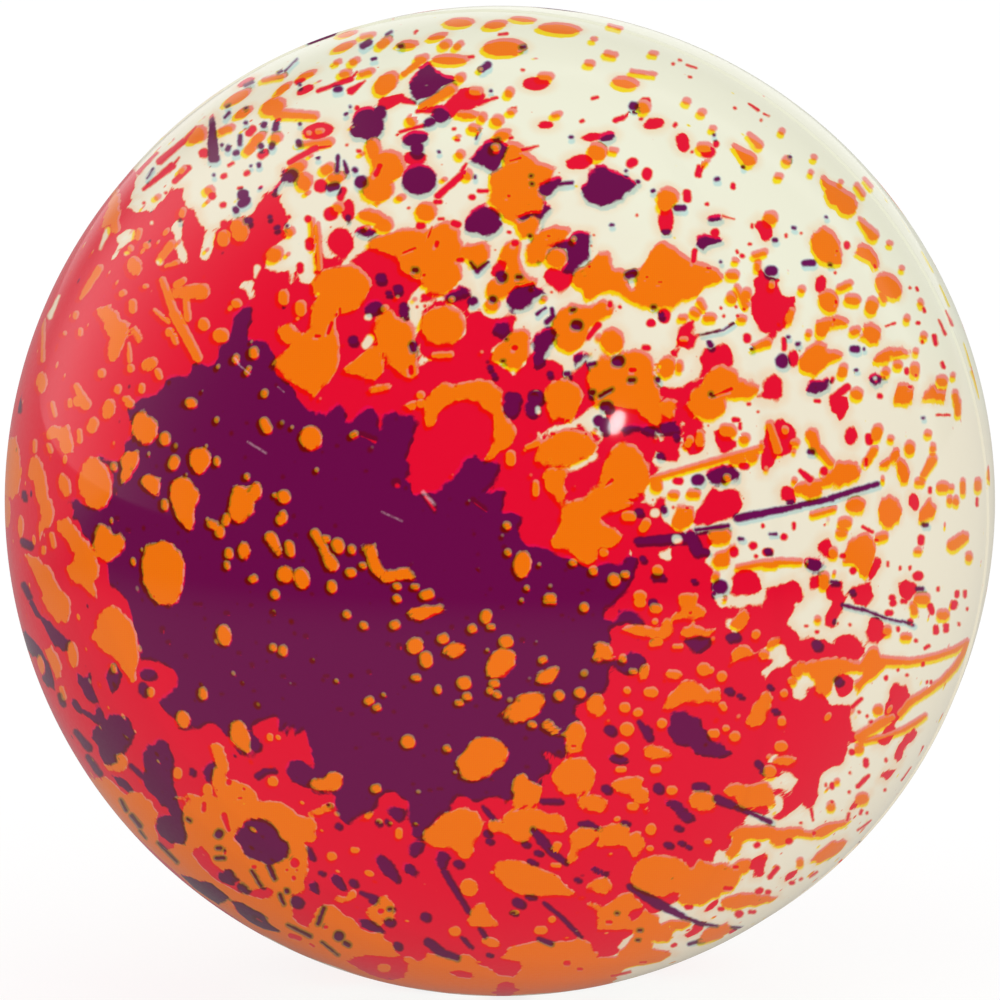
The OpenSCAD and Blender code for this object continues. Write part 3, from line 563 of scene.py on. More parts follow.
# Runs of ink: the ink, then x, y and width at both ends of each run
streaks = (
    (red, -140,67,5,-126,61,8),
    (orange, -229,-37,12,-221,-52,7, -185,-33,9,-176,-48,8, -176,-50,8,-168,-64,13, 27,53,3,39,58,6),
    (red, -27,0,6,-15,-9,6, -76,6,9,-67,-7,8, 106,15,2,112,20,5),
    (orange, 150,21,4,262,53,4, 270,76,6,278,50,8),
    (purple, 238,-18,9,300,-6,6, 137,-41,6,190,-37,9, 190,-35,12,197,-50,12, 196,-30,4,228,-26,5,
     197,-50,8,208,-52,4),
    (orange, 238,-67,4,265,-62,5, 276,-61,5,300,-61,4, 320,51,7,331,38,6, 330,20,6,300,12,9),
    (red, 300,29,5,310,21,8),
    (orange, 366,38,6,375,52,6, 424,26,5,433,42,8),
    (red, 437,85,3,450,85,2),
    (purple, 330,2,6,377,16,6, 300,-5,6,332,1,6),
    (orange, 313,-14,4,334,-8,4),
    (red, 363,-27,4,372,-32,4),
    (orange, 453,-44,11,464,-36,9),
    (purple, -231,-366,6,-225,-379,5),
    (red, -276,-315,8,-271,-330,5),
    (purple, -248,-371,4,-239,-386,4, -220,-395,5,-216,-404,4, -212,-425,4,-190,-436,5,
     -176,-408,5,-182,-424,5, -178,-442,3,-162,-455,3, -139,-393,3,-127,-398,6,
     -192,-348,3,-188,-358,4, -368,-316,6,-360,-326,6, -379,-300,4,-374,-310,5,
     -360,-331,3,-355,-338,3, -342,-343,3,-323,-362,4, -56,-372,5,-48,-385,5, -48,-385,5,-32,-412,3,
     -17,-307,3,-7,-319,4, 44,-403,2,62,-418,3, 62,-418,3,79,-436,2, 33,-330,6,42,-341,9,
     42,-341,8,52,-353,7, 52,-353,7,64,-362,5, 80,-324,4,88,-323,5, 88,-323,5,98,-328,3,
     42,-301,4,60,-301,4, -72,-442,8,-60,-452,9, -60,-452,8,-43,-458,7, 39,-439,4,51,-444,6,
     -38,-438,2,-30,-447,1, -20,-429,3,-15,-438,2, 130,-387,6,143,-395,7, 143,-395,8,160,-405,10,
     160,-405,9,182,-416,7, 182,-416,5,202,-424,4, 202,-424,4,217,-426,3, 232,-427,3,248,-428,3,
     189,-444,4,200,-441,4),
    (orange, 200,-441,4,220,-436,4),
    (red, 270,-377,6,277,-368,6, 152,-469,3,163,-465,3, 112,-476,4,130,-472,3),
    (purple, 217,-299,8,230,-304,7, 230,-304,5,255,-315,4, 255,-315,5,270,-322,6),
    (orange, 300,-333,4,312,-334,5),
    (red, 311,-309,4,313,-320,3, 347,-320,4,349,-314,4, 358,-330,3,371,-321,3, 310,-377,3,317,-372,3),
    (purple, -243,-276,4,-236,-271,4, -236,-271,4,-226,-270,3, -369,-266,4,-359,-275,5,
     -424,-232,5,-413,-246,8, -412,-257,5,-402,-272,6, 139,-222,4,148,-236,8, 343,-105,4,362,-110,4,
     362,-109,4,385,-118,3, 385,-118,3,402,-122,3, 402,-121,3,413,-125,4),
    (orange, 383,-160,8,410,-161,5, 410,-161,5,435,-156,5, 435,-156,5,455,-149,5, 455,-149,5,467,-141,4,
     359,-236,8,383,-221,9, 383,-221,9,392,-217,6, 400,-213,5,410,-201,6, 410,-201,6,428,-190,5,
     428,-190,5,443,-179,5, 443,-179,5,455,-166,5, 455,-166,5,463,-153,4, 463,-153,4,467,-141,3,
     361,-241,4,384,-236,3, 384,-236,3,403,-229,4, 403,-229,4,417,-221,4, 417,-221,4,425,-215,3),
    (red, 352,-207,5,361,-199,5, 358,-286,6,368,-276,5, 418,-262,3,423,-247,3, 402,-280,3,411,-268,3),
    (orange, -400,232,7,-414,210,6, -414,210,6,-419,202,2),
    (cream, -392,270,7,-400,251,2, -441,204,3,-450,184,7),
    (orange, -456,180,4,-457,140,4, -337,220,6,-325,186,9, -325,186,11,-302,143,9, -323,215,7,-316,220,5,
     -324,208,10,-298,209,16, -314,204,6,-312,182,7, -345,190,3,-332,179,5, -338,243,7,-328,256,8,
     -334,234,3,-322,238,4, -371,156,3,-370,140,5, -182,276,2,-180,232,5, -187,280,2,-186,252,3),
    (cream, -243,232,7,-245,223,2),
    (orange, -423,114,6,-414,96,11),
    (red, -97,247,2,-85,252,4, -72,262,2,-68,273,2),
    (purple, -29,237,3,-23,229,6, -23,229,6,-12,238,3),
    (orange, -66,145,4,-49,146,6),
    (red, 88,162,5,98,175,8),
    (purple, 37,186,4,45,192,3, 52,191,4,53,184,5, 53,184,5,47,178,6),
    (red, 223,284,2,234,281,1),
    (orange, 253,153,4,268,159,7),
    (purple, 201,165,2,224,170,2),
    (red, 201,165,2,220,170,2),
    (purple, 224,170,1,234,177,2),
    (red, 230,175,3,234,177,2, 212,104,2,231,111,5),
    (orange, 237,214,3,246,196,6, 324,322,3,347,296,19, 360,281,2,373,266,11),
    (red, 386,174,2,395,177,3, 439,180,2,445,166,4, 446,189,2,452,175,4, 458,180,1,462,170,2),
    (orange, 473,132,2,481,108,4, 398,295,1,412,273,2, 424,252,1,434,234,2, 442,218,1,450,200,2,
     466,160,1,472,139,2),
    (red, 333,102,8,347,113,9),
    (purple, 100,104,5,112,111,4),
    (orange, -222,387,9,-184,385,6),
    (purple, -288,383,5,-287,347,12, -215,429,1,-203,441,2),
    (orange, -236,420,3,-216,425,5),
    (red, -182,409,5,-149,421,7, -149,421,4,-143,428,2, -149,409,9,-135,419,2, -116,396,14,-99,402,9,
     -99,401,9,-86,397,5),
    (orange, -201,356,3,-169,359,6),
    (red, -210,338,7,-184,352,8, -184,352,5,-170,354,2),
    (purple, -162,344,4,-163,329,5, -156,339,3,-153,328,5),
    (red, -100,368,4,-72,376,5, -82,389,5,-68,390,8),
    (orange, -77,394,6,-48,412,9, -96,426,3,-76,442,5),
    (red, -83,388,3,-73,393,3, -22,397,7,-3,402,2, 23,350,5,38,354,2, 10,339,3,20,342,4,
     -62,304,8,-36,327,8, -38,329,5,-34,336,3),
    (purple, -24,361,2,-21,370,3),
    (orange, 132,429,2,155,426,2, 110,475,2,121,472,2),
    (red, 187,435,2,196,432,2, 249,396,2,258,390,4, 264,386,2,269,384,2),
    (orange, 249,366,1,259,356,8, 235,354,3,249,342,14),
    (red, 199,324,5,204,337,3),
    (orange, 203,336,2,208,340,2),
    (purple, 46,312,16,58,320,9, 58,316,5,72,317,4),
    (red, 124,382,4,129,387,3, -340,339,9,-316,359,7, -316,359,5,-304,373,3, -356,311,5,-328,334,9,
     -328,334,5,-321,342,2, -325,319,7,-312,332,8),
    (purple, -353,322,2,-347,331,3),
    (red, -362,328,7,-343,347,4),
    (orange, 357,315,4,363,306,4, 365,321,2,371,314,3, 372,328,2,390,304,3),
)

# Drops: the ink, then x, y, width, height and turn in degrees of each drop
drops = (
    (orange, -335,62,11,13,0, -326,38,10,15,-25, -386,34,7,8,0, -335,-4,7,11,0, -370,97,9,8,0,
     -309,98,12,9,0),
    (red, -319,94,5,5,0),
    (orange, -391,91,13,20,-15, -407,75,10,16,-20, -420,64,5,14,0, -421,99,12,9,0, -446,91,4,16,12,
     -430,97,4,8,0, -465,54,4,13,0, -450,52,5,10,20, -435,15,11,24,15, -493,-12,7,30,0,
     -479,-26,6,22,0, -447,-40,5,16,10, -456,-50,4,8,0),
    (red, -383,-18,6,5,0, -372,-30,6,5,0, -385,9,6,8,0),
    (purple, -476,5,4,8,0, -474,-43,13,6,-25, -474,-90,6,16,25, -481,96,4,12,0),
    (orange, -234,75,10,16,25),
    (red, -253,77,5,4,0),
    (orange, -189,63,23,23,0, -146,66,9,5,30),
    (red, -163,54,5,4,0, -134,29,5,4,0, -104,17,11,10,0),
    (orange, -283,39,6,9,0, -253,24,5,6,0, -244,10,11,18,-5),
    (red, -217,23,5,5,0),
    (orange, -216,4,13,13,0, -225,5,4,4,0, -217,-16,8,12,0),
    (red, -206,-16,4,5,0),
    (orange, -287,-24,12,8,-20, -280,-31,9,12,0, -274,-19,7,12,-15, -210,-48,9,16,10),
    (red, -204,-35,5,5,0),
    (orange, -256,-50,12,17,0, -271,-53,8,10,0, -273,-65,6,8,0, -215,-74,16,17,0, -198,-78,15,21,15),
    (red, -197,-61,5,4,0),
    (orange, -247,-78,9,7,20, -225,-94,9,9,0),
    (red, -188,-94,5,4,0),
    (orange, -168,-86,9,12,0, -174,-38,9,6,0, -162,-45,12,15,20, -148,-49,8,9,0, -149,-72,11,8,10,
     -137,-65,8,6,0, -103,-86,8,6,0, -103,-98,8,7,0),
    (purple, 99,79,12,12,0),
    (red, 89,94,5,5,0, 79,74,5,4,0, 86,66,4,4,0, 53,66,6,4,0),
    (orange, 11,42,8,15,0, 36,12,5,16,0, 93,-70,8,8,0, 73,-62,7,6,0),
    (red, 57,-53,8,6,0),
    (orange, 22,-64,17,26,-10, 7,-25,8,7,0),
    (red, -26,-34,4,4,0, 4,-47,6,5,0),
    (orange, 50,-97,12,8,0, -73,-94,14,9,15, -85,-86,8,5,0),
    (red, 82,-93,5,3,0, 88,-90,4,3,0, -60,-100,7,4,0),
    (purple, 11,94,17,20,0, 32,93,15,19,10),
    (cream, 38,90,5,8,0),
    (purple, 106,94,14,10,0),
    (orange, 170,92,18,18,0),
    (red, 178,86,8,22,0),
    (purple, 104,75,10,16,0, 160,44,8,7,0, 176,64,6,6,0),
    (orange, 200,62,8,18,0, 188,56,6,6,0, 228,70,16,12,0),
    (red, 236,80,10,6,0, 240,74,5,9,0),
    (orange, 245,62,9,9,0, 285,70,6,8,0, 295,58,8,6,0),
    (red, 258,88,3,3,0, 249,96,5,3,0),
    (orange, 252,45,12,13,0, 238,42,16,10,0),
    (red, 244,34,12,8,0),
    (orange, 227,23,7,7,0),
    (purple, 198,20,14,12,0),
    (red, 178,19,12,8,0),
    (orange, 157,16,10,13,0, 132,6,9,7,0, 174,6,9,6,0, 194,7,12,7,0),
    (cream, 155,-13,10,8,0),
    (purple, 164,-10,6,8,0, 139,-12,8,6,0),
    (orange, 129,-16,14,9,0, 145,-25,8,14,-30),
    (red, 187,-8,5,4,0),
    (cream, 177,-39,10,9,0),
    (orange, 220,-35,22,16,0),
    (red, 234,-52,10,12,0),
    (purple, 241,-39,7,4,0),
    (red, 253,-46,9,9,0, 268,-52,12,9,0),
    (purple, 268,-51,6,5,0),
    (red, 256,-56,5,5,0, 284,-37,8,8,0),
    (purple, 273,-34,9,3,0),
    (red, 263,-26,4,5,0, 294,-26,5,9,0),
    (orange, 270,-63,16,7,0),
    (purple, 220,-87,16,15,0),
    (cream, 220,-98,10,8,0),
    (purple, 290,-3,8,5,0),
    (orange, 158,-70,9,10,0),
    (purple, 158,-77,14,5,0),
    (orange, 140,-96,12,10,0, 187,-98,16,9,0),
    (purple, 143,-59,6,5,0),
    (orange, 114,-79,12,12,0, 125,-74,8,6,0, 104,-52,8,8,0),
    (purple, 194,-81,5,3,0),
    (red, 351,64,13,19,0, 317,99,8,4,0),
    (purple, 311,48,9,6,0),
    (orange, 312,10,20,12,0),
    (red, 324,29,9,10,0, 369,61,9,13,0),
    (orange, 377,68,9,16,-20),
    (red, 366,38,5,10,0),
    (orange, 410,53,9,12,0, 433,53,4,8,0, 420,19,9,6,0, 443,14,12,9,0, 451,13,5,4,0, 450,1,4,7,0,
     456,0,5,8,0, 463,14,3,15,0, 478,16,6,12,0),
    (red, 477,-2,2,10,0),
    (orange, 490,27,5,14,0, 391,62,5,5,0, 428,67,6,5,0),
    (purple, 423,82,4,3,0),
    (orange, 458,93,5,16,0),
    (red, 430,10,5,8,0, 414,-2,11,19,15),
    (purple, 425,-25,8,5,0),
    (orange, 356,-4,18,14,0, 345,-22,13,10,10, 342,-32,10,8,0, 382,-36,12,7,20),
    (red, 377,-40,5,3,0, 343,-56,8,6,0, 353,-71,8,8,0),
    (orange, 333,-52,8,10,0, 324,-80,9,16,0),
    (purple, 334,-82,9,4,0, 352,-92,6,4,0),
    (red, 418,-76,12,10,0),
    (purple, 420,-89,9,5,0),
    (orange, 422,-98,15,10,0),
    (red, 392,-98,8,8,0, 421,-40,8,12,0),
    (orange, 418,-50,6,5,0, 469,-56,6,8,0),
    (red, 438,-89,4,6,0, 457,-94,6,9,0, 465,-94,5,9,0, 388,-64,3,7,0, 400,-68,2,5,0, 410,-68,3,5,0),
    (purple, -102,-40,3,3,0),
    (red, -296,-307,6,12,0),
    (purple, -281,-334,10,11,-40, -257,-388,12,9,-35),
    (red, -246,-367,7,6,0),
    (purple, -213,-391,6,7,0),
    (red, -205,-363,11,12,0, -206,-378,6,6,0, -203,-370,3,3,0, -213,-370,4,3,0, -243,-419,12,6,-30),
    (purple, -280,-358,12,5,0, -281,-348,8,5,0),
    (red, -275,-352,4,7,0),
    (purple, -204,-402,12,12,0),
    (red, -205,-437,16,7,-20),
    (purple, -161,-436,12,12,0, -153,-444,10,6,-30),
    (red, -174,-427,6,5,0, -188,-445,8,4,-30, -119,-411,8,7,0),
    (purple, -110,-409,6,5,0, -111,-422,9,9,0, -126,-400,10,9,0, -147,-383,6,8,30, -179,-373,5,4,0,
     -162,-326,5,6,0, -122,-323,5,5,0, -113,-322,4,5,0),
    (orange, -168,-356,9,8,0, -145,-350,8,5,0, -101,-333,6,10,0, -116,-468,12,8,0),
    (purple, -103,-446,6,8,0, -311,-320,7,4,-30),
    (orange, -31,-387,16,17,0, -9,-442,18,9,-15, -45,-431,11,9,0, 41,-430,12,8,0, 52,-419,6,6,0,
     56,-365,10,4,0, 56,-347,7,12,-35),
    (purple, -42,-364,9,7,0, -13,-334,7,7,0, -11,-341,6,6,0, 30,-397,9,4,0, 18,-403,12,9,-30,
     13,-413,6,4,0, 25,-344,7,5,0, 38,-353,7,5,0, 32,-362,9,4,-15, 77,-380,6,4,0, -75,-417,8,9,20,
     -11,-455,4,3,0),
    (red, 67,-463,9,7,0, 80,-469,8,5,0),
    (orange, 151,-329,9,11,-20),
    (red, 257,-345,8,7,30, 292,-383,7,5,0, 289,-341,9,8,30, 236,-367,8,5,0, 228,-388,11,6,0,
     189,-407,10,6,0, 221,-409,8,5,0, 259,-391,10,7,25, 268,-392,7,6,0, 239,-414,10,9,0,
     252,-412,9,5,0, 233,-431,10,6,30, 109,-422,9,5,0, 143,-462,9,3,0, 174,-445,7,5,30),
    (orange, 133,-306,11,7,0),
    (purple, 125,-323,7,4,0, 178,-328,7,5,0, 181,-343,6,4,0, 168,-345,8,5,0, 188,-347,4,3,0,
     117,-413,5,4,0, 140,-430,6,4,0, 138,-440,5,3,0),
    (orange, 208,-341,6,5,0, 150,-348,6,5,0),
    (red, 314,-333,6,6,0, 361,-312,4,7,-20, 367,-313,3,4,0, 301,-379,5,3,30),
    (orange, 331,-306,7,8,0),
    (red, 332,-302,4,4,0),
    (orange, 300,-362,5,8,0),
    (red, 301,-323,4,3,0),
    (orange, -10,-190,7,6,30, -3,-194,8,6,-20, -427,-154,10,26,8, -459,-164,6,19,12),
    (purple, -439,-199,5,12,15),
    (orange, -437,-193,5,14,15, -386,-168,5,9,15),
    (purple, -353,-173,17,12,0, -357,-189,8,13,0),
    (orange, -349,-192,7,9,0),
    (red, -338,-130,6,8,0, -332,-142,6,6,0, -314,-156,5,5,0),
    (orange, -317,-219,13,17,15, -322,-273,8,11,0),
    (purple, -308,-272,4,7,0),
    (red, -302,-104,10,4,0),
    (orange, -276,-135,14,21,10),
    (red, -261,-153,6,5,0, -273,-113,7,5,0, -227,-113,6,5,0, -249,-105,5,4,0),
    (orange, -227,-147,7,7,0, -217,-150,8,11,0),
    (red, -194,-136,6,5,0),
    (orange, -153,-114,8,8,0, -136,-125,8,7,0),
    (red, -248,-165,5,7,20, -217,-176,6,4,0, -206,-184,5,4,0, -174,-176,7,4,0, -131,-172,6,5,0,
     -246,-191,5,4,0),
    (orange, -297,-193,8,12,0),
    (red, -278,-194,5,3,0),
    (orange, -131,-200,10,7,25, -123,-207,8,6,20),
    (red, -161,-209,7,3,0, -148,-214,5,4,0, -125,-234,9,4,0, -111,-239,7,4,0, -144,-248,4,3,0,
     -112,-144,6,5,0, -101,-146,6,8,0),
    (orange, -105,-124,10,8,25),
    (purple, -245,-245,10,11,0),
    (orange, -230,-237,5,7,0, -227,-281,10,9,0, -124,-288,10,8,20),
    (red, -271,-282,7,8,0, -256,-289,4,4,0, -260,-298,6,3,0),
    (orange, -292,-290,9,12,0, -14,-116,10,14,-15, -28,-128,9,8,20, -9,-126,8,5,0),
    (red, -33,-118,5,4,0, -48,-127,5,5,0),
    (orange, -57,-138,12,9,20, -85,-145,17,15,20, -74,-159,12,16,0),
    (red, -72,-133,5,4,0),
    (orange, -84,-177,9,6,0, -62,-189,6,8,0, -36,-182,14,12,20, -33,-196,9,7,0, -41,-202,8,5,0),
    (red, -24,-206,5,4,0, -96,-187,4,4,0, -74,-226,5,4,0),
    (orange, -53,-248,7,6,0, -92,-241,14,13,10, 6,-141,14,11,15, -6,-183,10,7,15),
    (red, 2,-107,5,4,0, 22,-140,6,6,0, 62,-115,5,4,0, 73,-120,4,3,0),
    (orange, 50,-101,12,4,0, 43,-159,9,6,25, 59,-195,10,10,25, 32,-224,8,6,0, 80,-192,11,10,0),
    (red, 74,-246,6,3,0, 27,-267,6,4,0, -9,-279,5,4,0, -87,-284,5,4,0, -60,-289,7,3,0, -70,-290,5,3,0),
    (purple, 153,-103,9,7,0),
    (orange, 156,-108,12,9,0, 140,-102,11,9,0, 123,-158,7,8,0, 144,-171,9,17,-15, 133,-171,8,5,0,
     156,-142,13,7,10, 178,-146,10,4,0),
    (purple, 233,-137,14,7,15),
    (orange, 256,-134,7,9,-15, 264,-154,9,7,0, 297,-170,10,12,0, 292,-180,8,7,0, 174,-174,17,9,-10,
     204,-169,13,12,0, 222,-176,9,10,-30, 223,-206,6,9,30, 214,-233,11,8,0, 235,-236,10,10,0,
     226,-228,7,5,0, 162,-223,9,9,0, 127,-229,13,13,0),
    (purple, 117,-258,20,9,-15),
    (orange, 122,-248,13,11,30),
    (purple, 110,-230,11,9,-25, 147,-230,7,9,0),
    (orange, 125,-207,10,9,0, 138,-212,9,7,30, 151,-192,13,9,0, 127,-190,6,6,0),
    (purple, 106,-289,9,8,0),
    (orange, 121,-269,10,5,0),
    (purple, 158,-288,9,10,0),
    (orange, 172,-290,10,8,0, 156,-269,10,7,0),
    (purple, 200,-287,16,8,0),
    (orange, 284,-193,7,7,0, 282,-221,7,9,0, 281,-246,12,10,0, 285,-260,22,9,0, 269,-271,14,12,0),
    (purple, 258,-264,7,7,0, 262,-270,4,8,0, 229,-191,8,6,0, 240,-196,6,3,0, 270,-187,5,4,0,
     275,-211,7,4,0),
    (orange, 387,-130,7,9,0),
    (purple, 317,-145,10,10,0, 338,-181,9,8,0),
    (red, 359,-212,4,4,0),
    (orange, 378,-209,9,9,0),
    (red, 393,-103,9,8,0, 389,-113,10,7,0, 410,-122,8,8,0, 398,-129,5,6,0),
    (orange, 406,-136,10,6,0),
    (red, 416,-141,5,5,0, 427,-147,8,4,35, 423,-164,5,6,0, 436,-130,7,11,0, 446,-128,7,11,0,
     431,-109,7,13,15),
    (orange, 443,-114,12,9,0),
    (red, 454,-105,9,11,-20, 459,-124,3,5,0, 404,-101,8,6,0),
    (orange, 414,-108,6,12,10),
    (red, 467,-109,3,4,0, 386,-178,5,6,0, 398,-170,2,3,0, 407,-175,4,4,0, 427,-182,3,4,0, 431,-182,3,5,0,
     371,-222,6,5,40, 367,-216,3,3,0),
    (orange, 359,-248,8,9,0),
    (red, 352,-252,7,8,0, 366,-263,7,11,0, 386,-260,3,5,0, 332,-286,6,9,0),
    (orange, 337,-281,4,4,0),
    (red, 326,-285,3,5,0),
    (orange, 362,-298,12,11,0),
    (red, 349,-292,4,4,0, 385,-290,3,4,0, 350,-273,3,4,0, 306,-126,5,3,0, 317,-132,5,4,0),
    (orange, 318,-119,5,5,0),
    (red, 350,-125,3,4,0),
    (orange, -365,234,14,19,12, -361,266,5,12,-15, -369,252,6,6,0),
    (cream, -373,247,6,3,30),
    (orange, -353,255,7,6,30),
    (red, -356,297,4,2,0),
    (orange, -317,288,6,10,-15),
    (purple, -320,279,3,3,0),
    (cream, -340,239,8,9,-30, -348,277,3,4,0),
    (red, -309,268,16,32,10),
    (orange, -363,166,8,18,28, -377,207,8,5,35, -367,194,8,14,0, -350,136,17,12,25, -369,132,7,8,0,
     -341,126,6,11,20, -398,127,8,9,0, -458,118,11,20,0, -424,185,5,8,-15, -419,168,4,8,0,
     -435,167,4,3,0, -354,214,6,3,10, -330,168,9,8,0, -325,161,6,12,20, -382,111,7,9,-10,
     -358,112,6,10,-10, -373,101,8,6,0),
    (red, -276,275,9,11,0, -277,295,8,7,0),
    (orange, -260,270,18,23,15),
    (purple, -252,279,9,6,0),
    (orange, -276,262,12,16,-10, -225,246,17,15,20, -210,269,9,8,0),
    (purple, -213,274,4,4,0, -256,298,15,10,35, -264,290,7,8,20),
    (orange, -263,197,10,8,0, -216,203,10,15,0, -199,192,10,15,0, -296,176,11,12,0, -279,165,16,13,0),
    (red, -192,281,8,8,0, -190,256,11,14,0, -200,232,8,12,0, -211,283,5,5,0, -159,258,26,29,20,
     -169,286,16,15,20, -152,289,14,24,0),
    (orange, -161,293,10,9,0),
    (cream, -147,275,8,6,30),
    (purple, -152,282,4,6,0),
    (orange, -127,284,28,11,-15, -115,276,16,14,0),
    (purple, -134,269,23,10,-5),
    (red, -170,172,5,16,-20, -214,153,10,6,30, -160,189,4,9,0, -182,164,8,5,0),
    (cream, -182,206,6,6,0),
    (purple, -127,194,19,14,20),
    (cream, -132,183,8,6,0, -132,158,9,16,-30),
    (purple, -119,222,10,8,0, -147,160,9,8,0, -102,211,9,8,0, -111,207,6,3,0, -223,272,6,4,20,
     -230,283,4,3,30),
    (orange, -120,112,22,6,12, -264,142,7,9,-30, -246,148,10,11,0, -252,130,4,9,-35),
    (red, -63,256,6,9,-20),
    (purple, -85,230,8,6,0),
    (red, -76,225,4,3,0, -79,274,11,8,0, -40,240,9,6,0),
    (orange, -73,289,19,18,0),
    (red, -44,276,12,8,-20, -59,281,8,4,0, -62,298,10,6,0),
    (orange, 57,243,19,19,0, 74,261,5,5,0),
    (purple, 2,223,12,12,0, 19,223,8,5,0),
    (red, 15,257,9,8,0, 9,268,5,4,0),
    (purple, 30,264,4,4,0),
    (red, 49,264,5,3,0),
    (orange, -7,196,13,11,0),
    (purple, -7,201,8,7,0, -27,199,10,9,30),
    (red, -73,203,12,7,0, -75,194,3,4,0, -83,193,3,2,0),
    (purple, -96,190,9,14,0, -87,153,8,12,10),
    (red, -89,130,7,12,0, 15,152,8,7,0),
    (purple, 6,161,4,3,0, 3,139,5,3,0, 77,175,13,11,0, 73,190,7,5,20),
    (red, 12,181,10,6,0),
    (purple, 67,126,8,5,0, 92,136,10,5,15, 50,126,5,5,0, -10,132,5,5,0, -6,125,5,4,0),
    (orange, 63,105,36,32,0, 95,121,13,20,0),
    (purple, 13,102,16,11,0, 36,103,16,13,0, 92,107,8,7,0),
    (red, 166,280,16,30,0),
    (purple, 166,268,9,4,0),
    (orange, 165,296,13,13,0),
    (purple, 180,292,14,7,0, 215,282,17,8,5),
    (red, 215,267,10,10,0, 194,244,6,16,-8),
    (orange, 271,283,13,12,0),
    (purple, 275,260,7,5,0),
    (red, 252,274,3,6,0),
    (purple, 294,272,6,4,-15),
    (red, 286,264,3,5,0, 250,256,5,3,0, 242,244,6,6,0, 237,248,2,5,20),
    (orange, 236,240,6,4,0, 260,247,15,5,18, 258,235,4,10,0),
    (purple, 271,229,14,11,0),
    (orange, 290,185,6,17,-22, 272,216,5,8,0),
    (red, 247,162,9,11,0),
    (purple, 252,151,4,3,0, 282,139,14,15,0),
    (red, 284,156,6,15,0, 293,142,12,18,0),
    (purple, 288,163,5,4,0, 298,156,6,5,20, 210,156,6,9,30),
    (orange, 201,103,20,22,0),
    (purple, 211,106,5,5,0),
    (orange, 184,161,8,4,0),
    (red, 164,184,13,16,0),
    (purple, 161,185,6,5,0),
    (red, 151,177,10,9,0),
    (purple, 154,193,6,4,0),
    (red, 147,223,4,3,0, 160,218,6,3,0),
    (purple, 131,226,14,9,22),
    (orange, 113,160,22,23,0),
    (purple, 118,139,14,12,0),
    (red, 133,130,9,6,0),
    (purple, 132,120,10,6,0),
    (red, 146,152,10,7,0),
    (orange, 167,134,16,21,-10),
    (cream, 160,133,5,6,0),
    (purple, 158,120,6,7,0),
    (orange, 180,134,5,11,0, 233,226,12,8,0, 232,203,9,10,0, 247,207,8,10,0, 210,183,12,7,0,
     196,188,10,7,-20, 183,183,8,4,0, 202,196,5,12,30, 242,182,8,6,0),
    (red, 236,193,3,3,0, 224,184,3,3,0, 238,184,4,3,0, 244,191,3,2,0, 221,192,2,2,0, 110,196,6,8,0,
     120,193,4,4,0),
    (purple, 112,275,5,3,0),
    (red, 137,285,3,3,0, 207,296,5,4,0, 209,232,6,2,0),
    (purple, 221,238,3,2,0),
    (red, 169,104,5,4,30),
    (purple, 309,237,15,7,0),
    (red, 337,249,4,4,0),
    (purple, 330,235,5,3,0),
    (red, 347,255,7,9,0, 375,234,4,6,15),
    (orange, 389,215,29,20,-42),
    (red, 321,216,12,19,-5),
    (orange, 329,200,18,22,15),
    (red, 336,198,4,5,0),
    (orange, 345,215,16,5,25, 353,201,15,9,-5, 372,195,11,16,-15, 383,203,4,9,30, 390,257,5,3,0),
    (red, 334,180,4,5,0),
    (orange, 355,170,10,6,20),
    (red, 417,211,4,6,22, 424,190,4,7,22),
    (orange, 421,198,4,6,22),
    (red, 418,177,5,4,0),
    (orange, 407,182,5,6,0, 402,232,4,3,0),
    (red, 410,212,2,3,0, 422,158,4,5,0),
    (orange, 424,165,6,6,0),
    (red, 435,160,6,13,12),
    (purple, 355,151,12,8,0, 364,151,3,4,0),
    (orange, 416,149,4,5,0, 398,136,8,7,0, 415,131,8,13,0),
    (red, 407,129,6,8,0, 416,125,3,3,0, 443,135,5,9,18),
    (orange, 343,130,7,13,-15),
    (purple, 356,130,5,3,0),
    (cream, 375,122,4,2,0),
    (orange, 386,129,7,7,0),
    (red, 332,120,5,8,-20),
    (orange, 357,107,11,11,0),
    (red, 380,104,7,7,0, 410,113,6,4,0),
    (orange, 442,120,11,10,0, 456,103,5,14,10, 453,125,3,4,0),
    (purple, 326,283,4,2,-20),
    (orange, 346,302,10,10,0),
    (red, 301,267,2,3,0, 335,227,3,2,0),
    (orange, 302,211,6,6,0, 309,167,4,6,0, -262,403,30,9,30),
    (red, -254,418,20,6,27),
    (purple, -251,416,12,4,27, -220,428,7,2,25),
    (orange, -192,426,18,6,22, -216,412,19,6,38),
    (red, -200,419,13,6,25),
    (purple, -200,415,4,3,0),
    (red, -195,410,19,8,25),
    (purple, -162,411,11,7,10),
    (orange, -154,427,12,6,15, -133,428,15,5,15, -113,417,27,17,48, -155,454,22,7,22, -152,466,18,4,15,
     -132,465,15,4,12),
    (purple, -134,456,15,8,32),
    (orange, -115,458,16,7,38),
    (purple, -111,467,9,4,32, -126,441,7,4,15),
    (orange, -145,439,10,6,32, -162,438,7,3,20, -256,388,19,8,28),
    (purple, -254,392,5,3,30, -273,385,10,4,48, -272,394,6,3,30),
    (orange, -226,394,24,16,22, -273,371,16,6,20),
    (purple, -286,342,13,10,0, -254,377,5,4,0, -260,360,5,13,-5, -272,352,6,8,-20, -264,347,8,6,20,
     -278,355,4,4,0),
    (red, -249,369,14,9,45),
    (orange, -241,362,18,8,40),
    (purple, -236,375,7,8,-20, -224,374,7,12,-15),
    (red, -222,380,8,5,30),
    (orange, -223,363,11,9,20, -249,352,14,7,45),
    (purple, -239,354,6,7,30, -228,354,7,9,-20),
    (red, -237,346,14,9,35),
    (purple, -241,335,5,6,0),
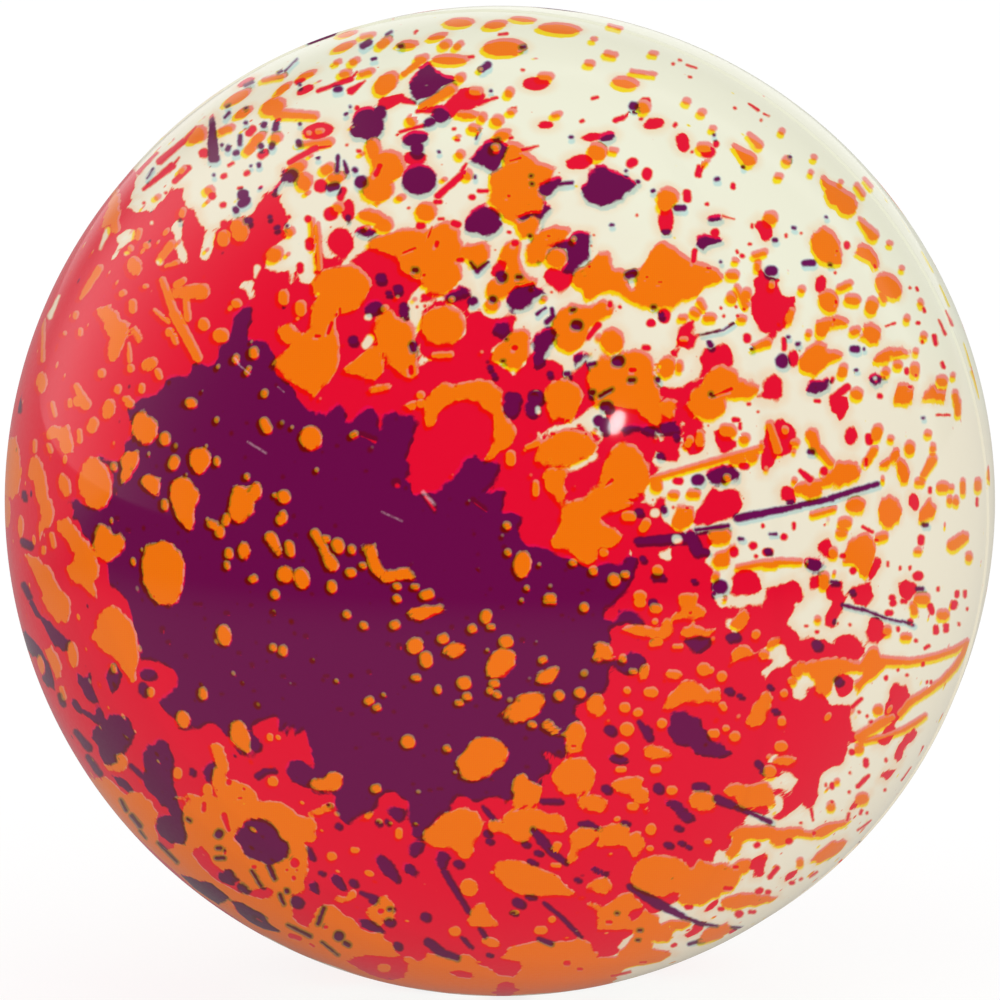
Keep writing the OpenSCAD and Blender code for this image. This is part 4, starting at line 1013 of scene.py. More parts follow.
    (red, -276,324,8,6,20, -253,327,8,6,30, -269,336,9,4,25),
    (purple, -286,325,2,4,0, -249,334,2,2,0),
    (red, -182,369,32,17,12),
    (orange, -180,369,9,5,15, -191,367,5,4,0),
    (purple, -201,357,7,9,20, -200,376,4,3,0),
    (orange, -202,334,19,11,22),
    (purple, -208,325,12,13,0),
    (orange, -195,319,14,17,20),
    (purple, -182,342,5,4,0, -132,377,31,35,20, -120,387,13,14,0, -142,370,17,16,0),
    (red, -143,392,5,6,-20),
    (purple, -150,393,3,3,0, -154,386,5,2,30),
    (orange, -126,352,13,22,10, -111,335,32,30,0),
    (red, -122,330,7,16,-25),
    (orange, -122,312,30,26,0),
    (purple, -139,318,14,14,0),
    (red, -141,349,6,4,0, -153,355,4,3,0),
    (purple, -145,330,6,7,40),
    (orange, -172,332,14,8,30, -163,323,17,10,10),
    (red, -179,314,15,15,0),
    (purple, -167,313,15,9,15),
    (red, -158,306,8,16,-20),
    (purple, -257,305,12,13,0),
    (red, -260,312,7,4,0, -296,347,12,11,0),
    (orange, -298,366,9,12,0, -290,310,9,8,0),
    (red, -288,304,9,9,0),
    (orange, -40,478,28,9,3, -4,476,22,8,8, 24,481,24,5,-5, 60,472,40,11,-3, -62,464,18,6,15),
    (red, 3,466,11,3,5, -84,468,6,2,50),
    (orange, 5,453,42,17,2),
    (purple, 23,453,8,5,12),
    (orange, -54,456,11,8,25, -41,455,10,5,40, -92,456,19,8,5),
    (purple, -99,454,7,5,15),
    (orange, -49,441,36,10,0),
    (red, -29,443,8,4,10),
    (purple, -15,433,15,8,35),
    (orange, -19,431,4,3,20, -78,442,13,6,20, -39,423,9,8,30),
    (red, 36,416,28,14,0),
    (orange, 46,424,15,7,0, -24,409,13,7,-5),
    (red, -6,402,9,2,8),
    (purple, -9,409,4,3,0),
    (orange, 10,408,7,9,-30, -32,386,22,8,-5, -17,383,7,8,0, -2,380,11,10,0),
    (purple, -60,386,20,18,-50, -70,378,13,9,20),
    (orange, -88,380,9,10,30),
    (purple, -85,362,27,16,10, -83,352,14,15,0),
    (red, -85,342,24,15,0),
    (purple, -81,321,35,32,0),
    (orange, 3,366,17,10,15),
    (red, 11,362,6,4,20),
    (purple, -3,360,7,4,20),
    (orange, -4,353,9,8,0, -25,372,11,7,-15),
    (red, -46,371,5,2,0, -43,360,6,2,0),
    (purple, -61,348,4,3,0),
    (orange, -39,346,8,8,0, -32,326,8,10,0),
    (purple, -25,323,3,5,0),
    (red, -17,309,13,5,0, -28,303,8,7,0, 9,304,5,4,0),
    (purple, 31,324,4,3,0, 32,316,4,4,0),
    (red, 14,392,7,3,15),
    (orange, 12,389,8,5,10),
    (red, 23,430,5,2,0, 46,375,17,8,3, 82,379,6,4,20, 95,402,9,4,12),
    (purple, 71,363,5,4,0),
    (red, 92,363,22,8,8),
    (purple, 107,364,17,10,25),
    (orange, 98,349,17,17,0),
    (red, 79,338,28,15,10),
    (orange, 90,437,9,5,0, 94,461,5,2,0, 57,386,9,4,15, 111,446,13,5,-10, 126,418,25,11,-8),
    (red, 154,376,22,12,10, 146,400,10,6,0),
    (orange, 144,394,13,13,0),
    (purple, 134,394,11,10,0),
    (red, 135,388,7,5,0, 119,381,14,6,22, 141,381,5,3,0, 175,375,6,5,40, 183,357,14,20,12, 192,348,4,3,0),
    (orange, 168,304,20,17,0, 187,399,7,5,-10, 202,388,7,6,10),
    (red, 132,337,13,10,25),
    (purple, 126,329,4,3,40),
    (red, 147,326,11,14,0),
    (purple, 138,318,5,5,0, 153,309,5,4,25),
    (red, 208,348,16,14,10, 216,356,7,8,0),
    (orange, 205,353,15,9,0),
    (red, 198,329,6,14,-15),
    (purple, 217,321,7,5,10),
    (red, 233,314,6,8,0, 187,304,9,15,5),
    (orange, 287,340,8,7,-30),
    (purple, 290,343,4,2,0),
    (orange, 279,324,7,5,0, 282,369,5,5,0),
    (red, 180,440,5,3,-15, 173,436,4,2,0, 235,392,4,3,-20, 261,380,3,3,0),
    (orange, 154,447,8,2,-5),
    (red, 190,423,5,2,0),
    (purple, 214,365,3,2,0),
    (orange, 213,372,5,3,0),
    (purple, 243,333,4,2,0),
    (orange, 114,350,8,3,-10, -303,366,20,13,45, -342,303,5,3,30),
    (red, -334,307,4,3,0),
    (orange, -317,330,9,4,45, 311,328,4,4,0, 314,343,5,3,0, 341,318,3,3,0),
)


# Directions and the front view
# A direction at angle t from the view's axis is seen at a distance from the middle of
# limbRadius * sin(t) * D / (D - R cos(t)) / tan of the outline's half angle, for the camera's distance D.
outlineHalf = math.asin(ball["radius"] / look["distance"])
focal = look["limbRadius"] / math.tan(outlineHalf)
limbAngle = math.pi / 2 - outlineHalf
pastLimb = 0.06              # view units per mm past the outline, so that drawn shapes can go on there


def seenRadius(angle):
    radius = ball["radius"]
    inside = np.minimum(angle, limbAngle)
    seen = focal * radius * np.sin(inside) / (look["distance"] - radius * np.cos(inside))
    return seen + pastLimb * radius * np.maximum(angle - limbAngle, 0)


def viewCoordinates(directions):
    # view position, outward direction in the view, and view units per mm along and across it
    depth = directions @ toCamera
    x = directions @ viewRight
    y = directions @ viewUp
    side = np.hypot(x, y)
    angle = np.arctan2(side, depth)
    outX = x / np.maximum(side, 1e-9)
    outY = y / np.maximum(side, 1e-9)
    seen = seenRadius(angle)
    radius = ball["radius"]
    near = look["distance"] - radius * depth
    along = focal * (look["distance"] * depth - radius) / near ** 2
    along = np.where(angle < limbAngle, np.maximum(along, pastLimb), pastLimb)
    across = seen / np.maximum(radius * np.sin(np.minimum(angle, math.pi - 0.05)), 1e-6)
    across = np.where(angle < 1e-4, focal / (look["distance"] - radius), across)
    return {
        "x": look["centre"][0] + seen * outX,
        "y": look["centre"][1] + seen * outY,
        "outX": outX,
        "outY": outY,
        "along": along,
        "across": across,
        "angle": angle,
        "directions": directions,
    }


def onSurface(view, near, distance, gradX, gradY):
    # a distance seen in the view, in mm on the ball: divided by how fast it grows along the surface
    outward = gradX * view["outX"][near] + gradY * view["outY"][near]
    sideways = gradY * view["outX"][near] - gradX * view["outY"][near]
    growth = np.hypot(outward * view["along"][near], sideways * view["across"][near])
    return distance / np.maximum(growth, 0.03)


def waves(directions, length, seed, count=24):
    # sum of plane waves with random directions and phases, about -1 to 1, length in mm
    random = np.random.default_rng(seed)
    axes = random.normal(size=(count, 3))
    axes /= np.linalg.norm(axes, axis=1)[:, None]
    pace = 2 * math.pi * ball["radius"] / length * random.uniform(0.6, 1.5, count)
    phases = random.uniform(0, 2 * math.pi, count)
    total = np.zeros(len(directions))
    for axis, step, phase in zip(axes, pace, phases):
        total += np.sin(directions @ (axis * step) + phase)
    return total / math.sqrt(count / 2) / 1.6


def summedWaves(directions, parts, seed):
    # waves of several lengths in mm, each with its height
    total = np.zeros(len(directions))
    for place, (length, height) in enumerate(parts):
        total += height * waves(directions, length, seed + place)
    return total


def polygonDistance(x, y, corners):
    # distance to the nearest edge, negative inside, with the direction in which it grows
    best = np.full(len(x), 1e9)
    toX = np.zeros(len(x))
    toY = np.zeros(len(x))
    inside = np.zeros(len(x), bool)
    for (ax, ay), (bx, by) in zip(corners, corners[1:] + corners[:1]):
        dx = bx - ax
        dy = by - ay
        share = np.clip(((x - ax) * dx + (y - ay) * dy) / (dx * dx + dy * dy + 1e-12), 0, 1)
        px = x - ax - share * dx
        py = y - ay - share * dy
        square = px * px + py * py
        closer = square < best
        best = np.where(closer, square, best)
        toX = np.where(closer, px, toX)
        toY = np.where(closer, py, toY)
        crosses = (ay > y) != (by > y)
        inside ^= crosses & (x < ax + (y - ay) * dx / (dy if dy else 1e-12))
    distance = np.sqrt(best)
    gradX = toX / np.maximum(distance, 1e-9)
    gradY = toY / np.maximum(distance, 1e-9)
    return np.where(inside, -distance, distance), gradX, gradY


def inRows(values, length):
    # a flat list of tenths of a mm as rows of mm
    starts = range(0, len(values), length)
    return [[value * tenth for value in values[start:start + length]] for start in starts]


def layInk(fields, ink, near, distance):
    # the ink covers what lies inside the shape, and pushes the others out of it
    joined = {ink, "full"} if ink in (red, purple) else {ink}
    for name, field in fields.items():
        if name in joined:
            field[near] = np.minimum(field[near], distance)
        else:
            field[near] = np.maximum(field[near], -distance)


def nearby(view, left, right, bottom, top):
    # the numbers of the points seen within a rectangle
    x = view["x"]
    y = view["y"]
    return np.nonzero((x > left) & (x < right) & (y > bottom) & (y < top))[0]


def layMass(fields, view, ink, corners):
    # a polygon in the view with its edge roughened by the ragged waves
    xs = [corner[0] for corner in corners]
    ys = [corner[1] for corner in corners]
    reach = splatter["margin"]
    near = nearby(view, min(xs) - reach, max(xs) + reach, min(ys) - reach, max(ys) + reach)
    distance, gradX, gradY = polygonDistance(view["x"][near], view["y"][near], corners)
    distance = np.maximum(onSurface(view, near, distance, gradX, gradY), view["past"][near])
    layInk(fields, ink, near, distance + view["ragged"][near])


def layStreak(fields, view, ink, x0, y0, width0, x1, y1, width1):
    # a run of ink: a line in the view whose half width goes evenly from one end's to the other's
    dx = x1 - x0
    dy = y1 - y0
    length = math.hypot(dx, dy)
    middleX = (x0 + x1) / 2
    middleY = (y0 + y1) / 2
    reach = length / 2 + splatter["margin"]
    near = nearby(view, middleX - reach, middleX + reach, middleY - reach, middleY + reach)
    x = view["x"][near] - x0
    y = view["y"][near] - y0
    share = np.clip((x * dx + y * dy) / length ** 2, 0, 1)
    px = x - share * dx
    py = y - share * dy
    away = np.maximum(np.hypot(px, py), 1e-9)
    half = np.maximum((width0 + (width1 - width0) * share) / 2, splatter["thinnestRun"])
    layInk(fields, ink, near, onSurface(view, near, away - half, px / away, py / away))


def layDrop(fields, view, ink, x0, y0, width, height, turn):
    # an ellipse in the view: q is 1 on its edge, and (q - 1) over q's slope is the distance to it
    halfWidth = max(width / 2, splatter["smallestDrop"])
    halfHeight = max(height / 2, splatter["smallestDrop"])
    reach = max(halfWidth, halfHeight) + splatter["dropMargin"]
    near = nearby(view, x0 - reach, x0 + reach, y0 - reach, y0 + reach)
    angle = math.radians(turn)
    dx = view["x"][near] - x0
    dy = view["y"][near] - y0
    u = (dx * math.cos(angle) + dy * math.sin(angle)) / halfWidth
    v = (dy * math.cos(angle) - dx * math.sin(angle)) / halfHeight
    q = np.maximum(np.hypot(u, v), 1e-6)
    slopeU = u / halfWidth
    slopeV = v / halfHeight
    slope = np.maximum(np.hypot(slopeU, slopeV), 1e-9)
    gradX = (slopeU * math.cos(angle) - slopeV * math.sin(angle)) / slope
    gradY = (slopeU * math.sin(angle) + slopeV * math.cos(angle)) / slope
    distance = onSurface(view, near, q * (q - 1) / slope, gradX, gradY)
    layInk(fields, ink, near, distance + splatter["dropRagged"] * view["ragged"][near])


# The side that the view doesn't show, in mm where nothing else is said
rear = {
    "drops": 1500,
    "runs": 70,
    "begins": 0.07,                # depth towards the camera, in radii, up to which they are laid
    "smallest": 0.26,              # half width of a drop, times e to the power of a random number
    "spread": 0.62,                # mean of that number
    "largest": 2.6,
    "flattest": 0.75,              # least height of a drop, as a share of its width
    "runLength": (2.5, 5.5),       # length of a run, and how much of it for each mm of size
    "runHalf": (0.28, 0.22),       # its half width at the start, and what its size adds towards the end
    "runReach": 9.0,               # how far from its start a run is looked for
    "ragged": 0.3,                 # share of the masses' raggedness
    "inks": (orange, red, purple, orange, red, purple, cream, orange, red, orange),
    # ink, length of its waves, level above which they are covered, and what is added to the seed
    "masses": ((red, 46.0, 0.02, 11), (purple, 52.0, 0.22, 23), (orange, 30.0, 0.62, 31)),
    "massesFrom": 0.25,            # radians past the outline where they start
    "massesHold": 0.9,             # how fast they are pushed away before that, as a share of the way
}


def layRearDrops(fields, view):
    # drops and runs of the same make-up as the view's, placed by the seed
    random = np.random.default_rng(splatter["seed"])
    directions = view["directions"]
    radius = ball["radius"]
    for number in range(rear["drops"] + rear["runs"]):
        centre = random.normal(size=3)
        centre /= np.linalg.norm(centre)
        side = np.cross(centre, random.normal(size=3))
        side /= np.linalg.norm(side)
        other = np.cross(centre, side)
        size = min(rear["smallest"] * math.exp(random.exponential(rear["spread"])), rear["largest"])
        high = size * random.uniform(rear["flattest"], 1.0)
        isRun = number >= rear["drops"]
        if centre @ toCamera > rear["begins"]:
            continue
        reach = size + splatter["dropMargin"] + (rear["runReach"] if isRun else 0)
        near = np.nonzero(directions @ centre > math.cos(reach / radius))[0]
        u = (directions[near] @ side) * radius
        v = (directions[near] @ other) * radius
        if isRun:
            length = rear["runLength"][0] + rear["runLength"][1] * size
            share = np.clip(u / length, 0, 1)
            half = rear["runHalf"][0] + rear["runHalf"][1] * size * share
            distance = np.hypot(u - share * length, v) - half
        else:
            q = np.maximum(np.hypot(u / size, v / high), 1e-6)
            slope = np.maximum(np.hypot(u / size ** 2, v / high ** 2), 1e-9)
            distance = q * (q - 1) / slope
        ink = rear["inks"][number % len(rear["inks"])]
        layInk(fields, ink, near, distance + rear["ragged"] * view["ragged"][near])


def layRearMasses(fields, view):
    # broad masses from slow waves, which start past the view's outline
    directions = view["directions"]
    everywhere = np.arange(len(directions))
    before = np.maximum(limbAngle + rear["massesFrom"] - view["angle"], 0)
    hold = rear["massesHold"] * ball["radius"] * before
    for ink, length, level, seed in rear["masses"]:
        broad = waves(directions, length, splatter["seed"] + seed, 16)
        distance = (level - broad) * length / 6 + view["rough"] + hold
        layInk(fields, ink, everywhere, distance + view["ragged"])


def isSmall(length, width):
    return length <= splatter["smallDrop"] and width <= splatter["smallDrop"]


def unshifted(directions, plate):
    # where the plate's print at these places comes from: back by its shift, which is linear in the view
    across, up = plates[plate]
    x = directions @ viewRight * ball["radius"]
    y = directions @ viewUp * ball["radius"]
    shiftX = across[0] + across[1] * x + across[2] * y
    shiftY = up[0] + up[1] * x + up[2] * y
    moved = directions - (shiftX[:, None] * viewRight + shiftY[:, None] * viewUp) / ball["radius"]
    turned = moved / np.linalg.norm(moved, axis=1)[:, None]
    # seen from the front the shift is the same on the slopes, and near the outline it turns round the ball
    depth = directions @ toCamera
    flat = moved - (moved @ toCamera)[:, None] * toCamera
    risen = flat + np.sqrt(np.maximum(1 - np.einsum("ij,ij->i", flat, flat), 0))[:, None] * toCamera
    share = np.clip((depth - splatter["turnsUntil"]) / splatter["turnsOver"], 0, 1)[:, None]
    blend = share * risen + (1 - share) * turned
    return blend / np.linalg.norm(blend, axis=1)[:, None]


def printAt(directions, plate):
    # signed distances to all of each ink but its small marks, as the plate lays them
    moved = unshifted(directions, plate)
    view = viewCoordinates(moved)
    seed = splatter["seed"]
    view["ragged"] = splatter["raggedness"] * summedWaves(moved, splatter["raggedWaves"], seed + 1)
    view["rough"] = summedWaves(moved, splatter["roughWaves"], seed + 3)
    # the masses of the view end a little past its outline
    past = ball["radius"] * (view["angle"] - limbAngle - splatter["pastOutline"])
    view["past"] = past + splatter["pastRough"] * view["rough"]
    fields = {name: np.full(len(moved), splatter["reach"]) for name in ("full", red, purple, orange)}
    layRearMasses(fields, view)
    layRearDrops(fields, view)
    for ink, *values in masses:
        layMass(fields, view, ink, inRows(values, 2))
    for ink, *values in streaks:
        for row in inRows(values, 6):
            if max(row[2], row[5]) > splatter["smallStreak"]:
                layStreak(fields, view, ink, *row)
    for ink, *values in drops:
        for x, y, width, height, turn in inRows(values, 5):
            if not isSmall(width, height):
                layDrop(fields, view, ink, x, y, width, height, turn / tenth)
    return {name: np.clip(field, -splatter["reach"], splatter["reach"]) for name, field in fields.items()}


def onDisc(x, y):
    # the place in mm on the disc through the ball's middle that lies behind x and y of the view
    angles = np.linspace(0, limbAngle, 4000)
    awayX = x - look["centre"][0]
    awayY = y - look["centre"][1]
    away = math.hypot(awayX, awayY)
    angle = float(np.interp(away, seenRadius(angles), angles))
    scale = ball["radius"] * math.sin(angle) / max(away, 1e-9)
    return (viewRight * awayX + viewUp * awayY) * scale


discScale = (look["distance"] - ball["radius"]) / focal


def dropMark(x, y, width, height, turn):
    # a small drop as a rounded line: the ellipse's long half less its short one to each side of the middle
    halfWidth = max(width / 2, splatter["smallestMark"])
    halfHeight = max(height / 2, splatter["smallestMark"])
    angle = math.radians(turn if halfWidth > halfHeight else turn + 90)
    reach = abs(halfWidth - halfHeight)
    stepX = reach * math.cos(angle)
    stepY = reach * math.sin(angle)
    half = min(halfWidth, halfHeight) * discScale
    return onDisc(x - stepX, y - stepY), onDisc(x + stepX, y + stepY), half, half


def streakMark(x0, y0, width0, x1, y1, width1):
    # a thin run as a rounded line between its ends
    halves = [max(width / 2, splatter["thinnestMark"]) * discScale for width in (width0, width1)]
    return onDisc(x0, y0), onDisc(x1, y1), *halves


def smallMarks():
    # both ends, both half widths and the ink's number of each small mark, in the order of printing
    numbers = {red: 1, purple: 2, orange: 3, cream: 4}
    found = []
    for ink, *values in streaks:
        for row in inRows(values, 6):
            if max(row[2], row[5]) <= splatter["smallStreak"]:
                found.append((*streakMark(*row), numbers[ink]))
    for ink, *values in drops:
        for x, y, width, height, turn in inRows(values, 5):
            if isSmall(width, height):
                found.append((*dropMark(x, y, width, height, turn / tenth), numbers[ink]))
    return found


def lineDistance(points, start, end, startHalf, endHalf):
    # distance to a rounded line whose half width goes evenly from one end's to the other's
    line = end - start
    share = np.clip((points - start) @ line / max(line @ line, 1e-9), 0, 1)
    away = np.linalg.norm(points - start - share[:, None] * line, axis=1)
    return away - startHalf - (endHalf - startHalf) * share


def closestMarks(centres, marks):
    # the two marks whose print on any plate comes closest to each face before the outline, in printing order
    directions = centres / np.linalg.norm(centres, axis=1)[:, None]
    places = []
    for plate in plates:
        place = unshifted(directions, plate) * ball["radius"]
        places.append(place - (place @ toCamera)[:, None] * toCamera)
    before = directions @ toCamera > math.cos(limbAngle + splatter["marksPast"])
    closest = np.full((len(centres), 2), splatter["markReach"])
    chosen = np.full((len(centres), 2), -1)
    for number, (start, end, startHalf, endHalf, ink) in enumerate(marks):
        reach = np.linalg.norm(end - start) / 2 + max(startHalf, endHalf) + splatter["markMargin"]
        away = places[0] - (start + end) / 2
        near = np.nonzero(before & (np.einsum("ij,ij->i", away, away) < reach ** 2))[0]
        if not len(near):
            continue
        distances = [lineDistance(place[near], start, end, startHalf, endHalf) for place in places]
        distance = np.minimum.reduce(distances)
        first = distance < closest[near, 0]
        second = ~first & (distance < closest[near, 1])
        closest[near[first], 1] = closest[near[first], 0]
        chosen[near[first], 1] = chosen[near[first], 0]
        closest[near[first], 0] = distance[first]
        chosen[near[first], 0] = number
        closest[near[second], 1] = distance[second]
        chosen[near[second], 1] = number
    chosen.sort(axis=1)
    return chosen


# What the mesh carries: the points the distances to the inks of the plates, and each face its two small marks
carriedNames = ("magentaPlate", "otherPlates", "lowerStart", "lowerEnd", "lowerSize",
                "upperStart", "upperEnd", "upperSize")


def carry(mesh, name, domain, values):
    attribute = mesh.attributes.new(name, "FLOAT_VECTOR", domain)
    attribute.data.foreach_set("vector", values.astype(np.float32).ravel())


def carryPrint(mesh, points):
    directions = points / np.linalg.norm(points, axis=1)[:, None]
    magenta = printAt(directions, "magenta")
    yellow = printAt(directions, "yellow")
    cyan = printAt(directions, "cyan")
    carry(mesh, "magentaPlate", "POINT", np.stack([magenta["full"], magenta[red], magenta[orange]], axis=1))
    nothing = np.zeros(len(directions))
    carry(mesh, "otherPlates", "POINT", np.stack([yellow[orange], cyan[purple], nothing], axis=1))
    centres = np.zeros(len(mesh.polygons) * 3)
    mesh.polygons.foreach_get("center", centres)
    marks = smallMarks()
    chosen = closestMarks(centres.reshape(-1, 3) / millimetre, marks)
    # a face without a mark has one far behind the ball
    nowhere = -2 * ball["radius"] * toCamera
    starts = np.array([mark[0] for mark in marks] + [nowhere])
    ends = np.array([mark[1] for mark in marks] + [nowhere])
    sizes = np.array([mark[2:] for mark in marks] + [(0.0, 0.0, 0.0)])
    for place, label in enumerate(("lower", "upper")):
        for name, values in (("Start", starts), ("End", ends), ("Size", sizes)):
            carry(mesh, label + name, "FACE", values[chosen[:, place]])


# Meshes
def makePiece(name, points, quads, triangles, sharpLoops, uv):
    # points in mm, faces as rows of point numbers, uv as one pair for each face corner
    mesh = bpy.data.meshes.new(name)
    mesh.vertices.add(len(points))
    mesh.vertices.foreach_set("co", (points * millimetre).astype(np.float32).ravel())
    corners = np.concatenate([quads.ravel(), triangles.ravel()]).astype(np.int32)
    sizes = np.concatenate([np.full(len(quads), 4), np.full(len(triangles), 3)])
    starts = np.concatenate([[0], np.cumsum(sizes)[:-1]]).astype(np.int32)
    mesh.loops.add(len(corners))
    mesh.loops.foreach_set("vertex_index", corners)
    mesh.polygons.add(len(sizes))
    mesh.polygons.foreach_set("loop_start", starts)
    mesh.update(calc_edges=True)
    mesh.shade_smooth()
    edges = np.zeros(len(mesh.edges) * 2, np.int32)
    mesh.edges.foreach_get("vertices", edges)
    edges = edges.reshape(-1, 2)
    sharp = np.zeros(len(edges), bool)
    for loop in sharpLoops:
        marked = np.zeros(len(points), bool)
        marked[loop] = True
        sharp |= marked[edges[:, 0]] & marked[edges[:, 1]]
    attribute = mesh.attributes.new("sharp_edge", "BOOLEAN", "EDGE")
    attribute.data.foreach_set("value", sharp)
    layer = mesh.uv_layers.new(name="OFBake")
    layer.data.foreach_set("uv", uv.astype(np.float32).ravel())
    piece = bpy.data.objects.new(name, mesh)
    bpy.context.scene.collection.objects.link(piece)
    carryPrint(mesh, points)
    print(name, "has", len(mesh.polygons), "faces")
    return piece


def discFromSquare(a, b):
    # concentric map: the larger of the two gives the distance from the middle, the other's share of it
    # the angle
    swap = np.abs(b) > np.abs(a)
    large = np.where(swap, b, a)
    small = np.where(swap, a, b)
    turn = math.pi / 4 * small / np.where(large == 0, 1, large)
    turn = np.where(swap, math.pi / 2 - turn, turn)
    return large * np.cos(turn), large * np.sin(turn)


def capGrid(cells, radius, rimAngle, holeAngle, holeRings, side):
    # part of a sphere round the mould axis on a square grid: on the disc, the distance from the middle
    # is the sine of half the polar angle, which gives every cell the same area
    steps = np.linspace(-1, 1, cells + 1)
    a, b = np.meshgrid(steps, steps, indexing="xy")
    discX, discZ = discFromSquare(a, b)
    share = np.hypot(discX, discZ)
    start = holeRings / (cells / 2)
    inner = math.sin(holeAngle / 2)
    wide = inner + (share - start) / (1 - start) * (math.sin(rimAngle / 2) - inner)
    polar = 2 * np.arcsin(np.clip(wide, 0, 1))
    around = np.arctan2(discZ, discX)
    away = np.sin(polar)
    points = radius * np.stack([away * np.cos(around), side * np.cos(polar), away * np.sin(around)], axis=-1)
    return points.reshape(-1, 3), np.stack([(a + 1) / 2, (b + 1) / 2], axis=-1).reshape(-1, 2)


def gridFaces(cells, holeRings):
    # four point numbers for each cell, without the block of cells in the middle
    rows, columns = np.meshgrid(np.arange(cells), np.arange(cells), indexing="ij")
    low = cells // 2 - holeRings
    high = cells // 2 + holeRings
    kept = ~((rows >= low) & (rows < high) & (columns >= low) & (columns < high))
    corner = (rows * (cells + 1) + columns)[kept]
    return np.stack([corner, corner + 1, corner + cells + 2, corner + cells + 1], axis=1)


def squareLoop(cells, low, high):
    # point numbers round a square of the grid, counterclockwise from its lowest corner
    run = np.arange(low, high)
    back = np.arange(high, low, -1)
    wide = cells + 1
    return np.concatenate([low * wide + run, run * wide + high, high * wide + back, back * wide + low])


def bandFaces(first, second):
    # quads between two loops with the same number of points
    return np.stack([first, second, np.roll(second, -1), np.roll(first, -1)], axis=1)


def steppedBand(fine, coarse):
    # triangles between a fine loop and a coarse one, with a whole number of fine points for each coarse one
    ratio = len(fine) // len(coarse)
    owner = np.arange(len(fine)) // ratio
    nextFine = np.roll(fine, -1)
    fans = np.stack([fine, coarse[owner], nextFine], axis=1)
    joints = np.stack([np.roll(fine[::ratio], -1), coarse, np.roll(coarse, -1)], axis=1)
    return np.concatenate([fans, joints])


# Where each part of a half lies on its sheet: the patch's lower left and upper right corners
sheet = {
    "outside": ((0.01, 0.13), (0.99, 0.99)),
    "inside": ((0.01, 0.01), (0.11, 0.11)),
    "grooveWall": ((0.13, 0.012), (0.99, 0.03)),
    "grooveFoot": ((0.13, 0.04), (0.99, 0.058)),
    "flatEdge": ((0.13, 0.068), (0.99, 0.09)),
    "holeWall": ((0.13, 0.1), (0.5, 0.122)),
    "bead": ((0.01, 0.01), (0.99, 0.99)),
}


def onSheet(values, part):
    low, high = np.array(sheet[part])
    return low + values * (high - low)


def cornersAt(*pairs):
    # the corners of a band's faces: how far round each lies, and on which side of the band
    return np.stack([np.stack([x, np.full(len(x), y)], axis=1) for x, y in pairs], axis=1)


def bandUv(count, part):
    # a band of quads is laid out straight, one cell for each step round the ball
    step = np.arange(count) / count
    after = (np.arange(count) + 1) / count
    return onSheet(cornersAt((step, 0.0), (step, 1.0), (after, 1.0), (after, 0.0)), part)


def steppedUv(count, ratio, part):
    # the same for a band of triangles between a fine loop and a coarse one
    step = np.arange(count) / count
    after = (np.arange(count) + 1) / count
    owner = np.arange(count) // ratio * ratio / count
    coarse = np.arange(count // ratio) * ratio / count
    coarseAfter = coarse + ratio / count
    fans = cornersAt((step, 0.0), (owner, 1.0), (after, 0.0))
    joints = cornersAt((coarseAfter, 0.0), (coarse, 1.0), (coarseAfter, 1.0))
    return onSheet(np.concatenate([fans, joints]), part)


